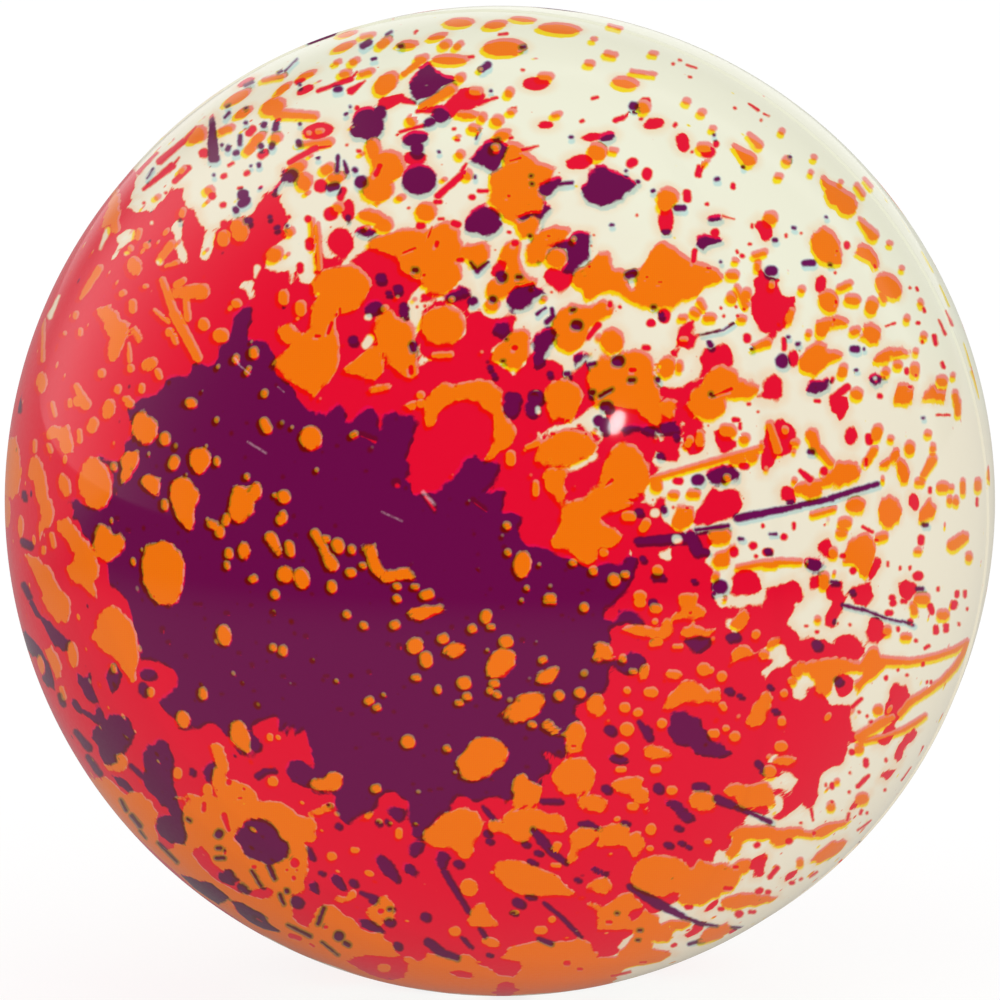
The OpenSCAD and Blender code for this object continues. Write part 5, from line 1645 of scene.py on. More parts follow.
def printedHalf(name, side, hasHole):
    # closed shell of skin and film: a fine outside, two rings down into the bead's groove,
    # a flat edge and a plain inside. The rear one has the valve's hole through it.
    cells = ball["gridCells"]
    innerCells = ball["innerCells"]
    outerRadius = ball["radius"]
    innerRadius = ball["innerRadius"]
    grooveCentre = ball["grooveCentre"]
    grooveRadius = ball["grooveRadius"]
    cosine = (outerRadius ** 2 + grooveCentre ** 2 - grooveRadius ** 2) / (2 * outerRadius * grooveCentre)
    rimAngle = math.pi / 2 - math.acos(cosine)
    innerRimAngle = math.acos(grooveRadius / innerRadius)
    holeAngle = math.asin(ball["holeRadius"] / outerRadius) if hasHole else 0.0
    innerHoleAngle = math.asin(ball["holeRadius"] / innerRadius) if hasHole else 0.0
    holeRings = ball["holeRings"] if hasHole else 0
    innerHoleRings = ball["innerHoleRings"] if hasHole else 0
    outer, outerUv = capGrid(cells, outerRadius, rimAngle, holeAngle, holeRings, side)
    inner, innerUv = capGrid(innerCells, innerRadius, innerRimAngle, innerHoleAngle, innerHoleRings, side)
    rim = squareLoop(cells, 0, cells)
    around = np.arctan2(outer[rim, 2], outer[rim, 0])
    rings = []
    for lean in ball["grooveLeans"]:
        width = grooveCentre + grooveRadius * math.cos(math.radians(lean))
        height = np.full(len(rim), side * grooveRadius * math.sin(math.radians(lean)))
        rings.append(np.stack([width * np.cos(around), height, width * np.sin(around)], axis=1))
    points = np.concatenate([outer, *rings, inner])
    firstRing = len(outer) + np.arange(len(rim))
    secondRing = firstRing + len(rim)
    innerStart = len(outer) + 2 * len(rim)
    innerRim = innerStart + squareLoop(innerCells, 0, innerCells)
    outerFaces = gridFaces(cells, holeRings)
    innerFaces = gridFaces(innerCells, innerHoleRings)[:, ::-1]
    quads = [outerFaces, bandFaces(rim, firstRing), bandFaces(firstRing, secondRing), innerStart + innerFaces]
    triangles = [steppedBand(secondRing, innerRim)]
    uvQuads = [onSheet(outerUv[outerFaces], "outside"), bandUv(len(rim), "grooveWall"),
               bandUv(len(rim), "grooveFoot"), onSheet(innerUv[innerFaces], "inside")]
    uvTriangles = [steppedUv(len(rim), len(rim) // len(innerRim), "flatEdge")]
    sharpLoops = [rim, secondRing, innerRim]
    if hasHole:
        hole = squareLoop(cells, cells // 2 - holeRings, cells // 2 + holeRings)
        middle = innerCells // 2
        innerHole = innerStart + squareLoop(innerCells, middle - innerHoleRings, middle + innerHoleRings)
        triangles.append(steppedBand(hole, innerHole)[:, ::-1])
        uvTriangles.append(steppedUv(len(hole), len(hole) // len(innerHole), "holeWall")[:, ::-1])
        sharpLoops += [hole, innerHole]
    # the rear half is the front one seen in a mirror, so its faces go round the other way
    quads, triangles, uvQuads, uvTriangles = (np.concatenate(parts)[:, ::-side]
                                              for parts in (quads, triangles, uvQuads, uvTriangles))
    # points that no face uses are left out, and the rest numbered again
    used, places = np.unique(np.concatenate([quads.ravel(), triangles.ravel()]), return_inverse=True)
    renumber = np.zeros(used.max() + 1, np.int64)
    renumber[used] = np.arange(len(used))
    sharpLoops = [renumber[loop] for loop in sharpLoops]
    quads, triangles = places[:quads.size].reshape(-1, 4), places[quads.size:].reshape(-1, 3)
    uv = np.concatenate([uvQuads.reshape(-1, 2), uvTriangles.reshape(-1, 2)])
    return makePiece(name, points[used], quads, triangles, sharpLoops, uv)


def beadRing(name):
    # closed ring: the section is the part of a small circle outside the foot's radius, carried round the
    # mould axis
    across = bead["across"]
    around = bead["around"]
    centre = ball["grooveCentre"]
    opening = math.acos((bead["floor"] - centre) / bead["radius"])
    lean = np.linspace(-opening, opening, across + 1)
    width = centre + bead["radius"] * np.cos(lean)
    height = np.broadcast_to(bead["radius"] * np.sin(lean), (around, across + 1))
    turn = np.linspace(0, 2 * math.pi, around, endpoint=False)[:, None]
    points = np.stack([width * np.cos(turn), height, width * np.sin(turn)], axis=-1).reshape(-1, 3)
    step, place = np.meshgrid(np.arange(across + 1), np.arange(around))
    # the four corners of each face: steps along the section and round the ball
    corners = ((0, 0), (1, 0), (1, 1), (0, 1))
    quads = [(place + on) % around * (across + 1) + (step + up) % (across + 1) for up, on in corners]
    u = np.stack([step + up for up, on in corners], axis=-1) / (across + 1)
    v = np.stack([place + on for up, on in corners], axis=-1) / around
    uv = onSheet(np.stack([u, v], axis=-1).reshape(-1, 2), "bead")
    edges = [np.arange(around) * (across + 1), np.arange(around) * (across + 1) + across]
    quads = np.stack(quads, axis=-1).reshape(-1, 4)
    return makePiece(name, points, quads, np.zeros((0, 3), np.int64), edges, uv)


print("laying the print on the front half")
frontPiece = printedHalf("printedFront", -1, False)
print("laying the print on the rear half")
rearPiece = printedHalf("printedRear", 1, True)
beadPiece = beadRing("seamBead")


# Materials
def give(tree, socket, value):
    # a number, colour or vector goes onto the socket itself
    if isinstance(value, (int, float, tuple)):
        socket.default_value = value
    else:
        tree.links.new(value, socket)


def maths(tree, operation, first, second=0.0):
    node = tree.nodes.new("ShaderNodeMath")
    node.operation = operation
    give(tree, node.inputs[0], first)
    give(tree, node.inputs[1], second)
    return node.outputs[0]


def vectorMaths(tree, operation, first, second=(0.0, 0.0, 0.0)):
    # gives a number for a dot product, distance or length, and a vector for the rest
    node = tree.nodes.new("ShaderNodeVectorMath")
    node.operation = operation
    give(tree, node.inputs[0], first)
    give(tree, node.inputs["Scale" if operation == "SCALE" else 1], second)
    return node.outputs["Value" if operation in ("DOT_PRODUCT", "DISTANCE", "LENGTH") else "Vector"]


def mapRange(tree, value, fromLow, fromHigh, toLow, toHigh):
    node = tree.nodes.new("ShaderNodeMapRange")
    node.interpolation_type = "SMOOTHSTEP"
    tree.links.new(value, node.inputs["Value"])
    limits = {"From Min": fromLow, "From Max": fromHigh, "To Min": toLow, "To Max": toHigh}
    for name, number in limits.items():
        node.inputs[name].default_value = number
    return node.outputs["Result"]


def mixed(tree, share, first, second, kind="RGBA", blend="MIX"):
    # the first where the share is 0 and the second where it is 1
    node = tree.nodes.new("ShaderNodeMix")
    node.data_type = kind
    node.blend_type = blend
    give(tree, node.inputs["Factor"], share)
    give(tree, node.inputs["A"], first)
    give(tree, node.inputs["B"], second)
    return node.outputs["Result"]


def opaque(color):
    return (*color, 1.0)


def asTuple(vector):
    return tuple(float(part) for part in vector)


def partsOf(tree, vector):
    node = tree.nodes.new("ShaderNodeSeparateXYZ")
    tree.links.new(vector, node.inputs[0])
    return node.outputs


def newGroup(name, vectors, numbers, outputs):
    # a node group with vectors and then numbers for inputs, and outputs of the kinds named
    tree = bpy.data.node_groups.new(name, "ShaderNodeTree")
    for label in vectors:
        tree.interface.new_socket(name=label, in_out="INPUT", socket_type="NodeSocketVector")
    for label in numbers:
        tree.interface.new_socket(name=label, in_out="INPUT", socket_type="NodeSocketFloat")
    for label, kind in outputs.items():
        tree.interface.new_socket(name=label, in_out="OUTPUT", socket_type="NodeSocket" + kind)
    return tree, tree.nodes.new("NodeGroupInput").outputs, tree.nodes.new("NodeGroupOutput").inputs


def useGroup(tree, group, **inputs):
    node = tree.nodes.new("ShaderNodeGroup")
    node.node_tree = group
    for label, value in inputs.items():
        give(tree, node.inputs[label], value)
    return node.outputs


def noise(tree, position, size, detail=2.0):
    # soft noise, 0 to 1, with features about size mm across, on a position in mm
    node = tree.nodes.new("ShaderNodeTexNoise")
    node.inputs["Scale"].default_value = 1 / size
    node.inputs["Detail"].default_value = detail
    tree.links.new(position, node.inputs["Vector"])
    return node.outputs["Fac"]


def sprayDotsGroup():
    # many scattered dots: the centre of the nearest one and its radius, in mm, negative where none is
    tree, given, result = newGroup("sprayDots", ["position"], ["spacing", "smallest", "largest", "share"],
                                   {"centre": "Vector", "radius": "Float"})
    cells = tree.nodes.new("ShaderNodeTexVoronoi")
    cells.inputs["Scale"].default_value = 1.0
    perCell = maths(tree, "DIVIDE", 1.0, given["spacing"])
    tree.links.new(vectorMaths(tree, "SCALE", given["position"], perCell), cells.inputs["Vector"])
    chance = tree.nodes.new("ShaderNodeSeparateColor")
    tree.links.new(cells.outputs["Color"], chance.inputs["Color"])
    # most dots are near the smallest size: it grows with the cube of the chance
    span = maths(tree, "SUBTRACT", given["largest"], given["smallest"])
    grown = maths(tree, "MULTIPLY", span, maths(tree, "POWER", chance.outputs[0], 3.0))
    radius = maths(tree, "ADD", given["smallest"], grown)
    shown = maths(tree, "LESS_THAN", chance.outputs[1], given["share"])
    radius = maths(tree, "SUBTRACT", radius, maths(tree, "SUBTRACT", 1.0, shown))
    tree.links.new(radius, result["radius"])
    tree.links.new(vectorMaths(tree, "SCALE", cells.outputs["Position"], given["spacing"]), result["centre"])
    return tree


inks = {
    "film": (0.850, 0.850, 0.680),
    "shadedFilm": (0.850, 0.790, 0.625),    # the film low on the ball and to the left, darker and pinker as painted shade
    "shadeTurns": (0.35, 0.62),            # height in radii over which the one turns into the other,
    "shadeLean": (0.35, 0.8),              # with that height measured this far to the right and up,
    "shadeClouds": (9.0, 0.3),             # and clouds of this size in mm and strength
    "magentaFull": (0.93, 0.002, 0.135),
    "magentaMid": (1.0, 0.28, 0.30),
    "yellowFull": (1.05, 0.83, 0.004),
    "yellowInCrimson": (1.0, 0.9, 0.40),
    "cyanInPurple": (0.19, 0.7, 0.98),
    "cyanOnFilm": 0.45,          # share of the cyan that shows where no magenta lies under it
    "spared": 0.19,              # mm that the cyan's gap lies inside a small red mark's edge
    "yellowSpread": 0.17,        # mm that the yellow reaches past its own edge
    "cyanSpread": 0.09,          # the same for the cyan
    "cyanOverlap": 0.10,         # mm that the cyan reaches into an orange drop
    "bridge": 0.16,              # mm of full ink round an orange drop that it takes up
    "screenPitch": 0.26,         # mm between the rows of halftone dots
    "screenDepth": 0.07,         # share of an ink that the halftone takes out between its dots
    "gain": (1.0, 0.87, 0.78),   # blush of spread ink on the film beside a mass
    "gainReach": 1.3,            # mm
    "edge": 0.15,                # mm of softness to each side of an edge
    "wander": 0.11,              # mm that the finest roughness moves an edge
    "wanderSize": 0.75,          # mm
    "markWander": 0.6,           # share of it that moves the edge of a small mark
    "markEnds": (0.10, 0.14),    # radians before the outline over which the small marks end
    "markPush": 12.0,            # mm that they are pushed away there
}

# The spray of fine dots: mm between them, radii in mm, share of them that shows and where the pattern starts
spray = {
    "orange": {"spacing": 2.3, "smallest": 0.13, "largest": 0.46, "share": 0.5},
    "red": {"spacing": 1.4, "smallest": 0.05, "largest": 0.27, "share": 0.6},
    "purple": {"spacing": 3.4, "smallest": 0.1, "largest": 0.34, "share": 0.4},
    "orangeStart": (7.0, 3.0, 11.0),
    "redStart": (31.0, 17.0, 5.0),
    "purpleStart": (-23.0, 41.0, 67.0),
    "cleanPast": 0.4,            # mm inside an orange mass from where no red dot falls on it
    "thinner": 0.06,             # mm off the radius away from the masses
    "thinnerOver": (0.5, 1.4),   # mm from the masses over which it gets so
    "corner": 0.3,               # mm off the radius towards the upper right
    "cornerOver": (0.35, 0.75),  # radii towards there over which it gets so
}

# Scuffs on the front: ends in the view, width in mm and strength
scuffs = (
    (-26.5, 14.2, -26.1, 13.6, 0.22, 0.55),
    (-26.1, 13.5, -25.0, 12.6, 0.16, 0.30),
    (-25.2, 5.8, -23.4, 4.7, 0.22, 0.28),
    (-11.8, -1.2, -9.8, -2.1, 0.20, 0.25),
    (-7.7, 0.8, -6.6, -0.4, 0.32, 0.45),
    (-22.2, 11.3, -21.6, 10.8, 0.15, 0.20),
)
scuffLook = {
    "color": (0.82, 0.52, 0.60),
    "patchSize": 0.35,       # mm, its patches along the way
    "patches": (0.35, 0.6),  # levels of the noise over which they show
    "least": 0.35,           # share that shows between them
}


def scuffed(tree, position, flat, markDistance, color, scuff):
    # a worn line, patchy along its way
    x0, y0, x1, y1, width, strength = scuff
    half = width / 2
    ends = {"start": asTuple(onDisc(x0, y0)), "end": asTuple(onDisc(x1, y1))}
    node = useGroup(tree, markDistance, place=flat, startHalf=half, endHalf=half, **ends)
    near = mapRange(tree, node["distance"], -half, half, strength, 0.0)
    patches = noise(tree, position, scuffLook["patchSize"], 3.0)
    worn = mapRange(tree, patches, *scuffLook["patches"], scuffLook["least"], 1.0)
    return mixed(tree, maths(tree, "MULTIPLY", near, worn), color, opaque(scuffLook["color"]))


def markDistanceGroup():
    # distance to a rounded line whose half width goes evenly from one end's to the other's
    tree, given, result = newGroup("markDistance", ["place", "start", "end"], ["startHalf", "endHalf"],
                                   {"distance": "Float"})
    line = vectorMaths(tree, "SUBTRACT", given["end"], given["start"])
    away = vectorMaths(tree, "SUBTRACT", given["place"], given["start"])
    square = maths(tree, "MAXIMUM", vectorMaths(tree, "DOT_PRODUCT", line, line), 1e-6)
    share = maths(tree, "DIVIDE", vectorMaths(tree, "DOT_PRODUCT", away, line), square)
    share = maths(tree, "MINIMUM", maths(tree, "MAXIMUM", share, 0.0), 1.0)
    apart = vectorMaths(tree, "DISTANCE", away, vectorMaths(tree, "SCALE", line, share))
    growth = maths(tree, "SUBTRACT", given["endHalf"], given["startHalf"])
    half = maths(tree, "ADD", given["startHalf"], maths(tree, "MULTIPLY", growth, share))
    tree.links.new(maths(tree, "SUBTRACT", apart, half), result["distance"])
    return tree


def splatterPrintGroup(dots, markDistance):
    # three plates over the cream film: each ink multiplies the light that comes back from below it
    tree, given, result = newGroup("splatterPrint", ["position", *carriedNames], [], {"color": "Color"})
    position = given["position"]

    def least(first, second):
        return maths(tree, "MINIMUM", first, second)

    def most(first, second):
        return maths(tree, "MAXIMUM", first, second)

    def plus(first, second):
        return maths(tree, "ADD", first, second)

    def minus(first, second):
        return maths(tree, "SUBTRACT", first, second)

    def times(first, second):
        return maths(tree, "MULTIPLY", first, second)

    def dotted(vector, fixed):
        return vectorMaths(tree, "DOT_PRODUCT", vector, asTuple(fixed))

    def without(value, hole):
        return most(value, times(hole, -1.0))

    def mask(value):
        return mapRange(tree, value, -inks["edge"], inks["edge"], 1.0, 0.0)

    def inked(color, share, tint):
        # the colour below, multiplied by an ink's tint where the share is 1
        return mixed(tree, share, color, opaque(tint), blend="MULTIPLY")

    nearFull, nearCrimson, nearMid = partsOf(tree, given["magentaPlate"])
    nearYellow, nearCyan = partsOf(tree, given["otherPlates"])[:2]
    fine = minus(noise(tree, position, inks["wanderSize"], 3.0), 0.5)
    wander = times(fine, 4 * inks["wander"])
    moved = {}
    for plate, shifts in plates.items():
        place = position
        for axis, (still, perRight, perUp) in zip((viewRight, viewUp), shifts):
            step = plus(dotted(position, viewRight * perRight + viewUp * perUp), still)
            place = vectorMaths(tree, "SUBTRACT", place, vectorMaths(tree, "SCALE", asTuple(axis), step))
        moved[plate] = place
    # the same places brought to the disc through the ball's middle, where the small marks are measured
    flattened = {}
    for plate, place in moved.items():
        rise = vectorMaths(tree, "SCALE", asTuple(toCamera), dotted(place, toCamera))
        flattened[plate] = vectorMaths(tree, "SUBTRACT", place, rise)

    # the spray gets finer away from the masses, and ends towards the upper right
    broad = least(nearFull, nearMid)
    sparse = mapRange(tree, broad, *spray["thinnerOver"], 0.0, spray["thinner"])
    upperRight = dotted(position, (viewRight + viewUp) / (math.sqrt(2) * ball["radius"]))
    sparse = plus(sparse, mapRange(tree, upperRight, *spray["cornerOver"], 0.0, spray["corner"]))

    def sprayed(name):
        # distance to the dots on each plate, with their centres found once on the magenta one
        offset = spray[name + "Start"]
        node = useGroup(tree, dots, position=vectorMaths(tree, "ADD", position, offset), **spray[name])
        centre = vectorMaths(tree, "SUBTRACT", node["centre"], offset)
        radius = minus(node["radius"], sparse)
        return {plate: minus(vectorMaths(tree, "DISTANCE", moved[plate], centre), radius) for plate in moved}

    def screened(value, first, second):
        # rows of halftone dots: the product of two waves across each other
        parts = []
        for axis in (first, second):
            pace = axis / np.linalg.norm(axis) * 2 * math.pi / inks["screenPitch"]
            parts.append(maths(tree, "SINE", dotted(position, pace)))
        share = times(plus(times(parts[0], parts[1]), 1.0), inks["screenDepth"] / 2)
        return times(value, minus(1.0, share))

    orangeDots = sprayed("orange")
    redDots = most(sprayed("red")["magenta"], minus(times(nearMid, -1.0), spray["cleanPast"]))
    purpleDots = sprayed("purple")
    reds = least(redDots, purpleDots["magenta"])
    full = without(least(plus(nearFull, wander), reds), orangeDots["magenta"])
    crimson = without(least(plus(nearCrimson, wander), redDots), orangeDots["magenta"])
    crimson = without(crimson, purpleDots["magenta"])
    mid = without(least(plus(nearMid, wander), orangeDots["magenta"]), reds)
    yellow = least(plus(nearYellow, wander), orangeDots["yellow"])
    cyan = without(least(plus(nearCyan, wander), purpleDots["cyan"]), orangeDots["cyan"])

    # the small marks waver a little, and end just before the view's outline
    depth = dotted(position, toCamera / ball["radius"])
    outer, inner = (math.cos(limbAngle - before) for before in inks["markEnds"])
    pushed = mapRange(tree, depth, outer, inner, inks["markPush"], 0.0)
    drift = plus(times(wander, inks["markWander"]), pushed)
    for label in ("lower", "upper"):
        startHalf, endHalf, ink = partsOf(tree, given[label + "Size"])
        away = {}
        for plate in moved:
            node = useGroup(tree, markDistance, place=flattened[plate], start=given[label + "Start"],
                            end=given[label + "End"], startHalf=startHalf, endHalf=endHalf)
            away[plate] = plus(node["distance"], drift)
        # the inks' numbers are 1 for red, 2 for purple, 3 for orange and 4 for cream
        isFull = maths(tree, "LESS_THAN", ink, 2.5)
        isRed = maths(tree, "LESS_THAN", ink, 1.5)
        isPurple = minus(isFull, isRed)
        isOrange = minus(maths(tree, "LESS_THAN", ink, 3.5), isFull)
        # little of the cyan spares a small red mark, and all of it fills a purple one
        away["cyan"] = plus(away["cyan"], times(isRed, inks["spared"]))
        farUnlessPurple = times(minus(1.0, isPurple), 10.0)
        away["cyan"] = least(away["cyan"], plus(away["magenta"], farUnlessPurple))

        def marked(value, plate, isOwn):
            # the mark joins the field of its own ink and is cut out of the others
            return mixed(tree, isOwn, without(value, away[plate]), least(value, away[plate]), kind="FLOAT")

        full = marked(full, "magenta", isFull)
        crimson = marked(crimson, "magenta", isRed)
        mid = marked(mid, "magenta", isOrange)
        yellow = marked(yellow, "yellow", isOrange)
        cyan = marked(cyan, "cyan", isPurple)
    # how the plates meet: no film shows between orange and a full ink, and the cyan stops in the orange
    mid = least(mid, most(times(full, -1.0), minus(mid, inks["bridge"])))
    yellow = minus(yellow, inks["yellowSpread"])
    cyan = minus(cyan, inks["cyanSpread"])
    cyan = most(cyan, minus(times(mid, -1.0), inks["cyanOverlap"]))
    yellow = least(yellow, most(mid, cyan))

    # painted shade makes the film darker and pinker low on the ball, and each plate lies over it in turn
    right, up = inks["shadeLean"]
    higher = dotted(position, (viewUp * up + viewRight * right) / ball["radius"])
    cloudSize, cloudStrength = inks["shadeClouds"]
    cloudy = times(minus(noise(tree, position, cloudSize), 0.5), cloudStrength)
    turned = mapRange(tree, plus(higher, cloudy), *inks["shadeTurns"], 0.0, 1.0)
    color = mixed(tree, turned, opaque(inks["shadedFilm"]), opaque(inks["film"]))
    color = inked(color, mapRange(tree, broad, 0.0, inks["gainReach"], 1.0, 0.0), inks["gain"])
    color = inked(color, mask(full), inks["magentaFull"])
    color = inked(color, screened(mask(mid), viewRight + viewUp, viewRight - viewUp), inks["magentaMid"])
    color = inked(color, mask(crimson), inks["yellowInCrimson"])
    color = inked(color, mask(yellow), inks["yellowFull"])
    onFilm = plus(times(mask(least(full, mid)), 1 - inks["cyanOnFilm"]), inks["cyanOnFilm"])
    color = inked(color, times(mask(cyan), onFilm), inks["cyanInPurple"])
    for scuff in scuffs:
        color = scuffed(tree, position, flattened["magenta"], markDistance, color, scuff)
    tree.links.new(color, result["color"])
    return tree


def newMaterial(name):
    material = bpy.data.materials.new(name)
    material.use_nodes = True
    tree = material.node_tree
    coordinates = tree.nodes.new("ShaderNodeTexCoord")
    position = vectorMaths(tree, "MULTIPLY", coordinates.outputs["Object"], (1000.0, 1000.0, 1000.0))
    return material, tree, tree.nodes["Principled BSDF"], position


def bumped(tree, shader, height, depth):
    # depth in mm for a height of 1
    node = tree.nodes.new("ShaderNodeBump")
    node.inputs["Strength"].default_value = 1.0
    node.inputs["Distance"].default_value = depth * millimetre
    tree.links.new(height, node.inputs["Height"])
    tree.links.new(node.outputs["Normal"], shader.inputs["Normal"])


skinFinish = {
    "roughness": (0.42, 0.58),
    "grainSize": 0.5,        # mm
    "specularLevel": 0.03,
    "coatWeight": 0.5,
    "coatRoughness": 0.06,
    "coatIndex": 1.5,
    "peelSize": 7.0,         # mm, faint unevenness of the moulded skin
    "peelDepth": 0.012,      # mm
}


def printedSkin():
    # the print under a clear gloss
    material, tree, shader, position = newMaterial("clearSkinOverPrint")
    carried = {}
    for name in carriedNames:
        node = tree.nodes.new("ShaderNodeAttribute")
        node.attribute_name = name
        carried[name] = node.outputs["Vector"]
    group = splatterPrintGroup(sprayDotsGroup(), markDistanceGroup())
    tree.links.new(useGroup(tree, group, position=position, **carried)["color"], shader.inputs["Base Color"])
    grain = noise(tree, position, skinFinish["grainSize"])
    tree.links.new(mapRange(tree, grain, 0.0, 1.0, *skinFinish["roughness"]), shader.inputs["Roughness"])
    shader.inputs["Specular IOR Level"].default_value = skinFinish["specularLevel"]
    shader.inputs["Coat Weight"].default_value = skinFinish["coatWeight"]
    shader.inputs["Coat Roughness"].default_value = skinFinish["coatRoughness"]
    shader.inputs["Coat IOR"].default_value = skinFinish["coatIndex"]
    bumped(tree, shader, noise(tree, position, skinFinish["peelSize"], 1.0), skinFinish["peelDepth"])
    return material


coreFinish = {"color": (0.82, 0.81, 0.74), "darker": (0.72, 0.71, 0.63), "roughness": 0.72}
plugFinish = {"color": (0.76, 0.73, 0.62), "darker": (0.66, 0.62, 0.50), "roughness": 0.5}
rubberGrain = {
    "cloudSize": 9.0,        # mm
    "size": 0.6,             # mm
    "depth": 0.02,           # mm
    "smoother": 0.1,         # roughness off in the hollows of the grain
    "rougher": 0.08,         # and more on its tops
    "specularLevel": 0.35,
}


def rubber(name, finish):
    # plain rubber with a cloudy tone and a dusting of talc
    material, tree, shader, position = newMaterial(name)
    cloudy = noise(tree, position, rubberGrain["cloudSize"], 4.0)
    color = mixed(tree, cloudy, opaque(finish["darker"]), opaque(finish["color"]))
    tree.links.new(color, shader.inputs["Base Color"])
    grain = noise(tree, position, rubberGrain["size"], 3.0)
    low = finish["roughness"] - rubberGrain["smoother"]
    high = finish["roughness"] + rubberGrain["rougher"]
    tree.links.new(mapRange(tree, grain, 0.2, 0.8, low, high), shader.inputs["Roughness"])
    shader.inputs["Specular IOR Level"].default_value = rubberGrain["specularLevel"]
    bumped(tree, shader, grain, rubberGrain["depth"])
    return material


skinMaterial = printedSkin()
for piece, slots, nodes in ((frontPiece, "printed_film", ("front_skin", "front_print_film")),
                            (rearPiece, "printed_film", ("rear_skin", "rear_print_film")),
                            (beadPiece, "bead", ("seam_bead",))):
    piece.data.materials.append(skinMaterial)
    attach(piece, "root")
    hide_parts(*nodes)

coreMaterial = rubber("talcDustedRubber", coreFinish)
plugMaterial = rubber("gumRubber", plugFinish)
rubbers = {"front_core": coreMaterial, "rear_core": coreMaterial, "valve_plug": plugMaterial}
for node, material in rubbers.items():
    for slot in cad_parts[node].material_slots:
        slot.material = material
print("materials made")


# Floor, light and camera
# The gloss sees another room than the rest: a dim one on the camera's side, white behind the object.
studio = {
    "floorHeight": -50.2,    # mm, under the bead's lowest point
    "floorSize": 6.0,        # m
    "floorColor": (0.9, 0.9, 0.9),
    "floorGlow": 1.03,
    "floorShare": 0.82,      # part of the floor that stays white in the object's shadow
    "bounceShare": 0.6,      # part of the floor that lights the object evenly from below
    "skyLevel": 0.97,
    "skyGradient": 0.08,     # more from above and less from below
    "glossFront": 0.02,      # what the gloss sees towards the camera
    "glossSide": 0.10,       # and to both sides
    "sideFrom": (0.18, 0.66),        # cosine to the camera's side over which the one turns into the other
    "glossWall": 1.5,        # a pale wall to the left
    "wallFrom": (0.45, 0.8),         # cosine to the wall over which it brightens
    "wallUntil": (-0.75, 0.35),      # cosine to the camera's side over which it ends
    "glossBehind": 1.2,      # the backdrop past the object
    "behindFrom": (-0.98, -0.78),
    "glossLeft": 0.5,        # the backdrop's share towards the lower left
    "leftFrom": (-0.5, 0.15),
    "glossSeam": 0.5,        # a bright seam in the backdrop, seen as a soft arc near the upper right edge
    "seamPlace": 0.52,
    "seamWidth": 0.09,
    "seamFrom": (0.3, 0.75),
    "glossTable": 0.45,      # the table as the gloss sees it, a painted pool of light just before the object and behind it
    "tableLeast": 0.05,      # share of that which is left towards the camera
    "tableFrom": (0.15, 0.30),       # m from the object over which it gets dark
    "tableBehind": (-0.05, 0.15),    # m behind the object's middle over which it gets bright
    "tableShadowShare": 0.3,       # share of it that is left right under the object, as a painted shadow
    "tableShadowFrom": (0.02, 0.09),  # m
}


def studioFloor():
    half = studio["floorSize"] / 2
    height = studio["floorHeight"] * millimetre
    mesh = bpy.data.meshes.new("studioFloor")
    corners = [(-half, -half, height), (half, -half, height), (half, half, height), (-half, half, height)]
    mesh.from_pydata(corners, [], [(0, 1, 2, 3)])
    floor = bpy.data.objects.new("studioFloor", mesh)
    bpy.context.scene.collection.objects.link(floor)
    material = bpy.data.materials.new("paleFloor")
    material.use_nodes = True
    tree = material.node_tree
    tree.nodes.clear()
    output = tree.nodes.new("ShaderNodeOutputMaterial")
    matt = tree.nodes.new("ShaderNodeBsdfDiffuse")
    matt.inputs["Color"].default_value = opaque(studio["floorColor"])
    glow = tree.nodes.new("ShaderNodeEmission")
    glow.inputs["Color"].default_value = (1.0, 1.0, 1.0, 1.0)
    glow.inputs["Strength"].default_value = studio["floorGlow"]
    rays = tree.nodes.new("ShaderNodeLightPath")
    seen = maths(tree, "MULTIPLY", rays.outputs["Is Camera Ray"], studio["floorShare"])
    bounced = maths(tree, "MULTIPLY", rays.outputs["Is Diffuse Ray"], studio["bounceShare"])
    # what the gloss sees of the floor: a painted pool of light near and behind the object, and a painted
    # shadow right under it
    coordinates = tree.nodes.new("ShaderNodeTexCoord").outputs["Object"]
    away = vectorMaths(tree, "LENGTH", coordinates)
    around = mapRange(tree, away, *studio["tableFrom"], 1.0, studio["tableLeast"])
    paintedShadow = mapRange(tree, away, *studio["tableShadowFrom"], studio["tableShadowShare"], 1.0)
    behind = mapRange(tree, partsOf(tree, coordinates)["Y"], *studio["tableBehind"], 0.0, 1.0)
    paintedLightAndShadow = maths(tree, "MULTIPLY", maths(tree, "MAXIMUM", around, behind), paintedShadow)
    dim = tree.nodes.new("ShaderNodeEmission")
    tree.links.new(maths(tree, "MULTIPLY", paintedLightAndShadow, studio["glossTable"]), dim.inputs["Strength"])

    def blended(share, first, second):
        node = tree.nodes.new("ShaderNodeMixShader")
        tree.links.new(share, node.inputs["Fac"])
        tree.links.new(first, node.inputs[1])
        tree.links.new(second, node.inputs[2])
        return node.outputs[0]

    plain = blended(maths(tree, "ADD", seen, bounced), matt.outputs[0], glow.outputs[0])
    tree.links.new(blended(rays.outputs["Is Glossy Ray"], plain, dim.outputs[0]), output.inputs["Surface"])
    mesh.materials.append(material)


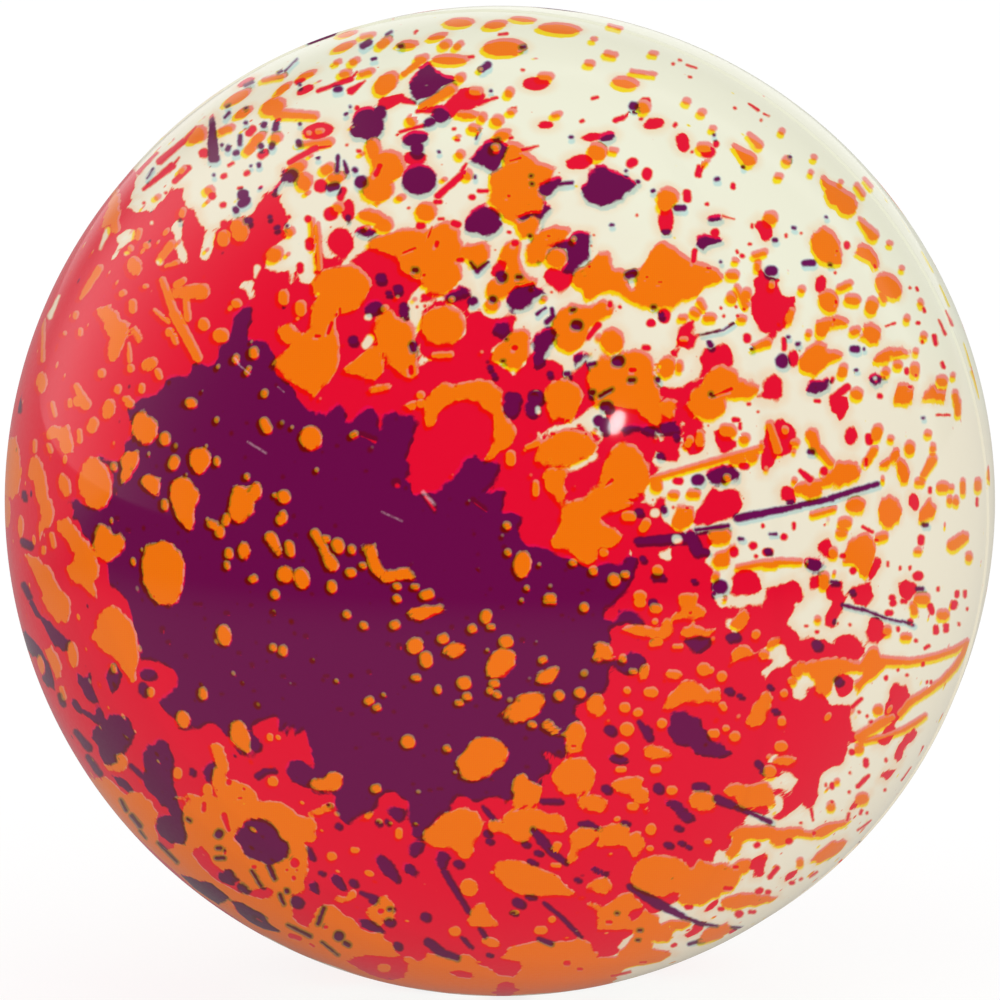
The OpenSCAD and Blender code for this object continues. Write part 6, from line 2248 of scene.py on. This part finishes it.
def studioWorld():
    world = bpy.data.worlds.new("studioWorld")
    bpy.context.scene.world = world
    world.use_nodes = True
    tree = world.node_tree
    background = tree.nodes["Background"]
    background.inputs["Color"].default_value = (1.0, 1.0, 1.0, 1.0)
    rays = tree.nodes.new("ShaderNodeLightPath").outputs
    coordinates = tree.nodes.new("ShaderNodeTexCoord").outputs["Generated"]

    def towards(axis):
        return vectorMaths(tree, "DOT_PRODUCT", coordinates, asTuple(axis))

    def share(value, limits, low, high):
        return mapRange(tree, value, *limits, low, high)

    facing = towards(toCamera)
    upperRight = towards(viewRight * 0.75 + viewUp * 0.66)
    side = share(facing, studio["sideFrom"], studio["glossSide"], studio["glossFront"])
    wall = share(towards(viewUp * 0.25 - viewRight * 0.95), studio["wallFrom"], 0.0, studio["glossWall"])
    wall = maths(tree, "MULTIPLY", wall, share(facing, studio["wallUntil"], 1.0, 0.0))
    side = maths(tree, "ADD", side, wall)
    right = share(upperRight, studio["leftFrom"], studio["glossLeft"], 1.0)
    behind = share(facing, studio["behindFrom"], studio["glossBehind"] - studio["glossSide"], 0.0)
    gloss = maths(tree, "ADD", side, maths(tree, "MULTIPLY", behind, right))
    seam = maths(tree, "ABSOLUTE", maths(tree, "ADD", facing, studio["seamPlace"]))
    arc = share(seam, (0.0, studio["seamWidth"]), studio["glossSeam"], 0.0)
    arc = maths(tree, "MULTIPLY", arc, share(upperRight, studio["seamFrom"], 0.0, 1.0))
    gloss = maths(tree, "ADD", gloss, arc)
    # a little more light from above than from below, and white where the camera sees past the object
    low = studio["skyLevel"] - studio["skyGradient"]
    high = studio["skyLevel"] + studio["skyGradient"]
    diffuse = share(towards(viewUp - viewRight * 0.25), (-1.0, 1.0), low, high)
    glossy = maths(tree, "MULTIPLY", rays["Is Glossy Ray"], maths(tree, "SUBTRACT", gloss, diffuse))
    level = maths(tree, "ADD", diffuse, glossy)
    shown = maths(tree, "MULTIPLY", rays["Is Camera Ray"], maths(tree, "SUBTRACT", 1.0, level))
    tree.links.new(maths(tree, "ADD", level, shown), background.inputs["Strength"])


def placed(name, data, columns):
    # an object with the columns of its matrix given: its three axes and its place in m
    holder = bpy.data.objects.new(name, data)
    bpy.context.scene.collection.objects.link(holder)
    holder.matrix_world = Matrix([list(row) for row in np.stack(columns, axis=1)] + [[0, 0, 0, 1]])
    return holder


glint = {
    "right": 655.0,          # mm to the right of the ball in the view,
    "up": 440.0,             # up,
    "near": 1270.0,          # and towards the camera
    "width": 150.0,          # mm
    "height": 82.0,
    "turn": 58.0,            # degrees
    "radiance": 38.0,
}


def glintLamp():
    # an ellipse aimed at the ball; its power is pi times its area times the radiance
    lamp = bpy.data.lights.new("glint", "AREA")
    lamp.shape = "ELLIPSE"
    lamp.size = glint["width"] * millimetre
    lamp.size_y = glint["height"] * millimetre
    area = glint["width"] * glint["height"] * millimetre ** 2 * math.pi / 4
    lamp.energy = math.pi * area * glint["radiance"]
    place = viewRight * glint["right"] + viewUp * glint["up"] + toCamera * glint["near"]
    backward = place / np.linalg.norm(place)
    sideways = np.cross(viewUp, backward)
    sideways /= np.linalg.norm(sideways)
    upward = np.cross(backward, sideways)
    angle = math.radians(glint["turn"])
    axisX = sideways * math.cos(angle) + upward * math.sin(angle)
    axisY = upward * math.cos(angle) - sideways * math.sin(angle)
    placed("glint", lamp, [axisX, axisY, backward, place * millimetre]).visible_camera = False


def studioCamera():
    data = bpy.data.cameras.new("camera")
    data.sensor_width = look["sensor"]
    data.lens = look["sensor"] / 2 * focal / look["halfWidth"]
    data.shift_x = -look["centre"][0] / (2 * look["halfWidth"])
    data.shift_y = -look["centre"][1] / (2 * look["halfWidth"])
    data.clip_start = 0.01
    data.clip_end = 50.0
    place = toCamera * look["distance"] * millimetre
    bpy.context.scene.camera = placed("camera", data, [viewRight, viewUp, toCamera, place])


studioFloor()
studioWorld()
glintLamp()
studioCamera()
bpy.context.scene.view_settings.view_transform = "Standard"
print("floor, light and camera set")
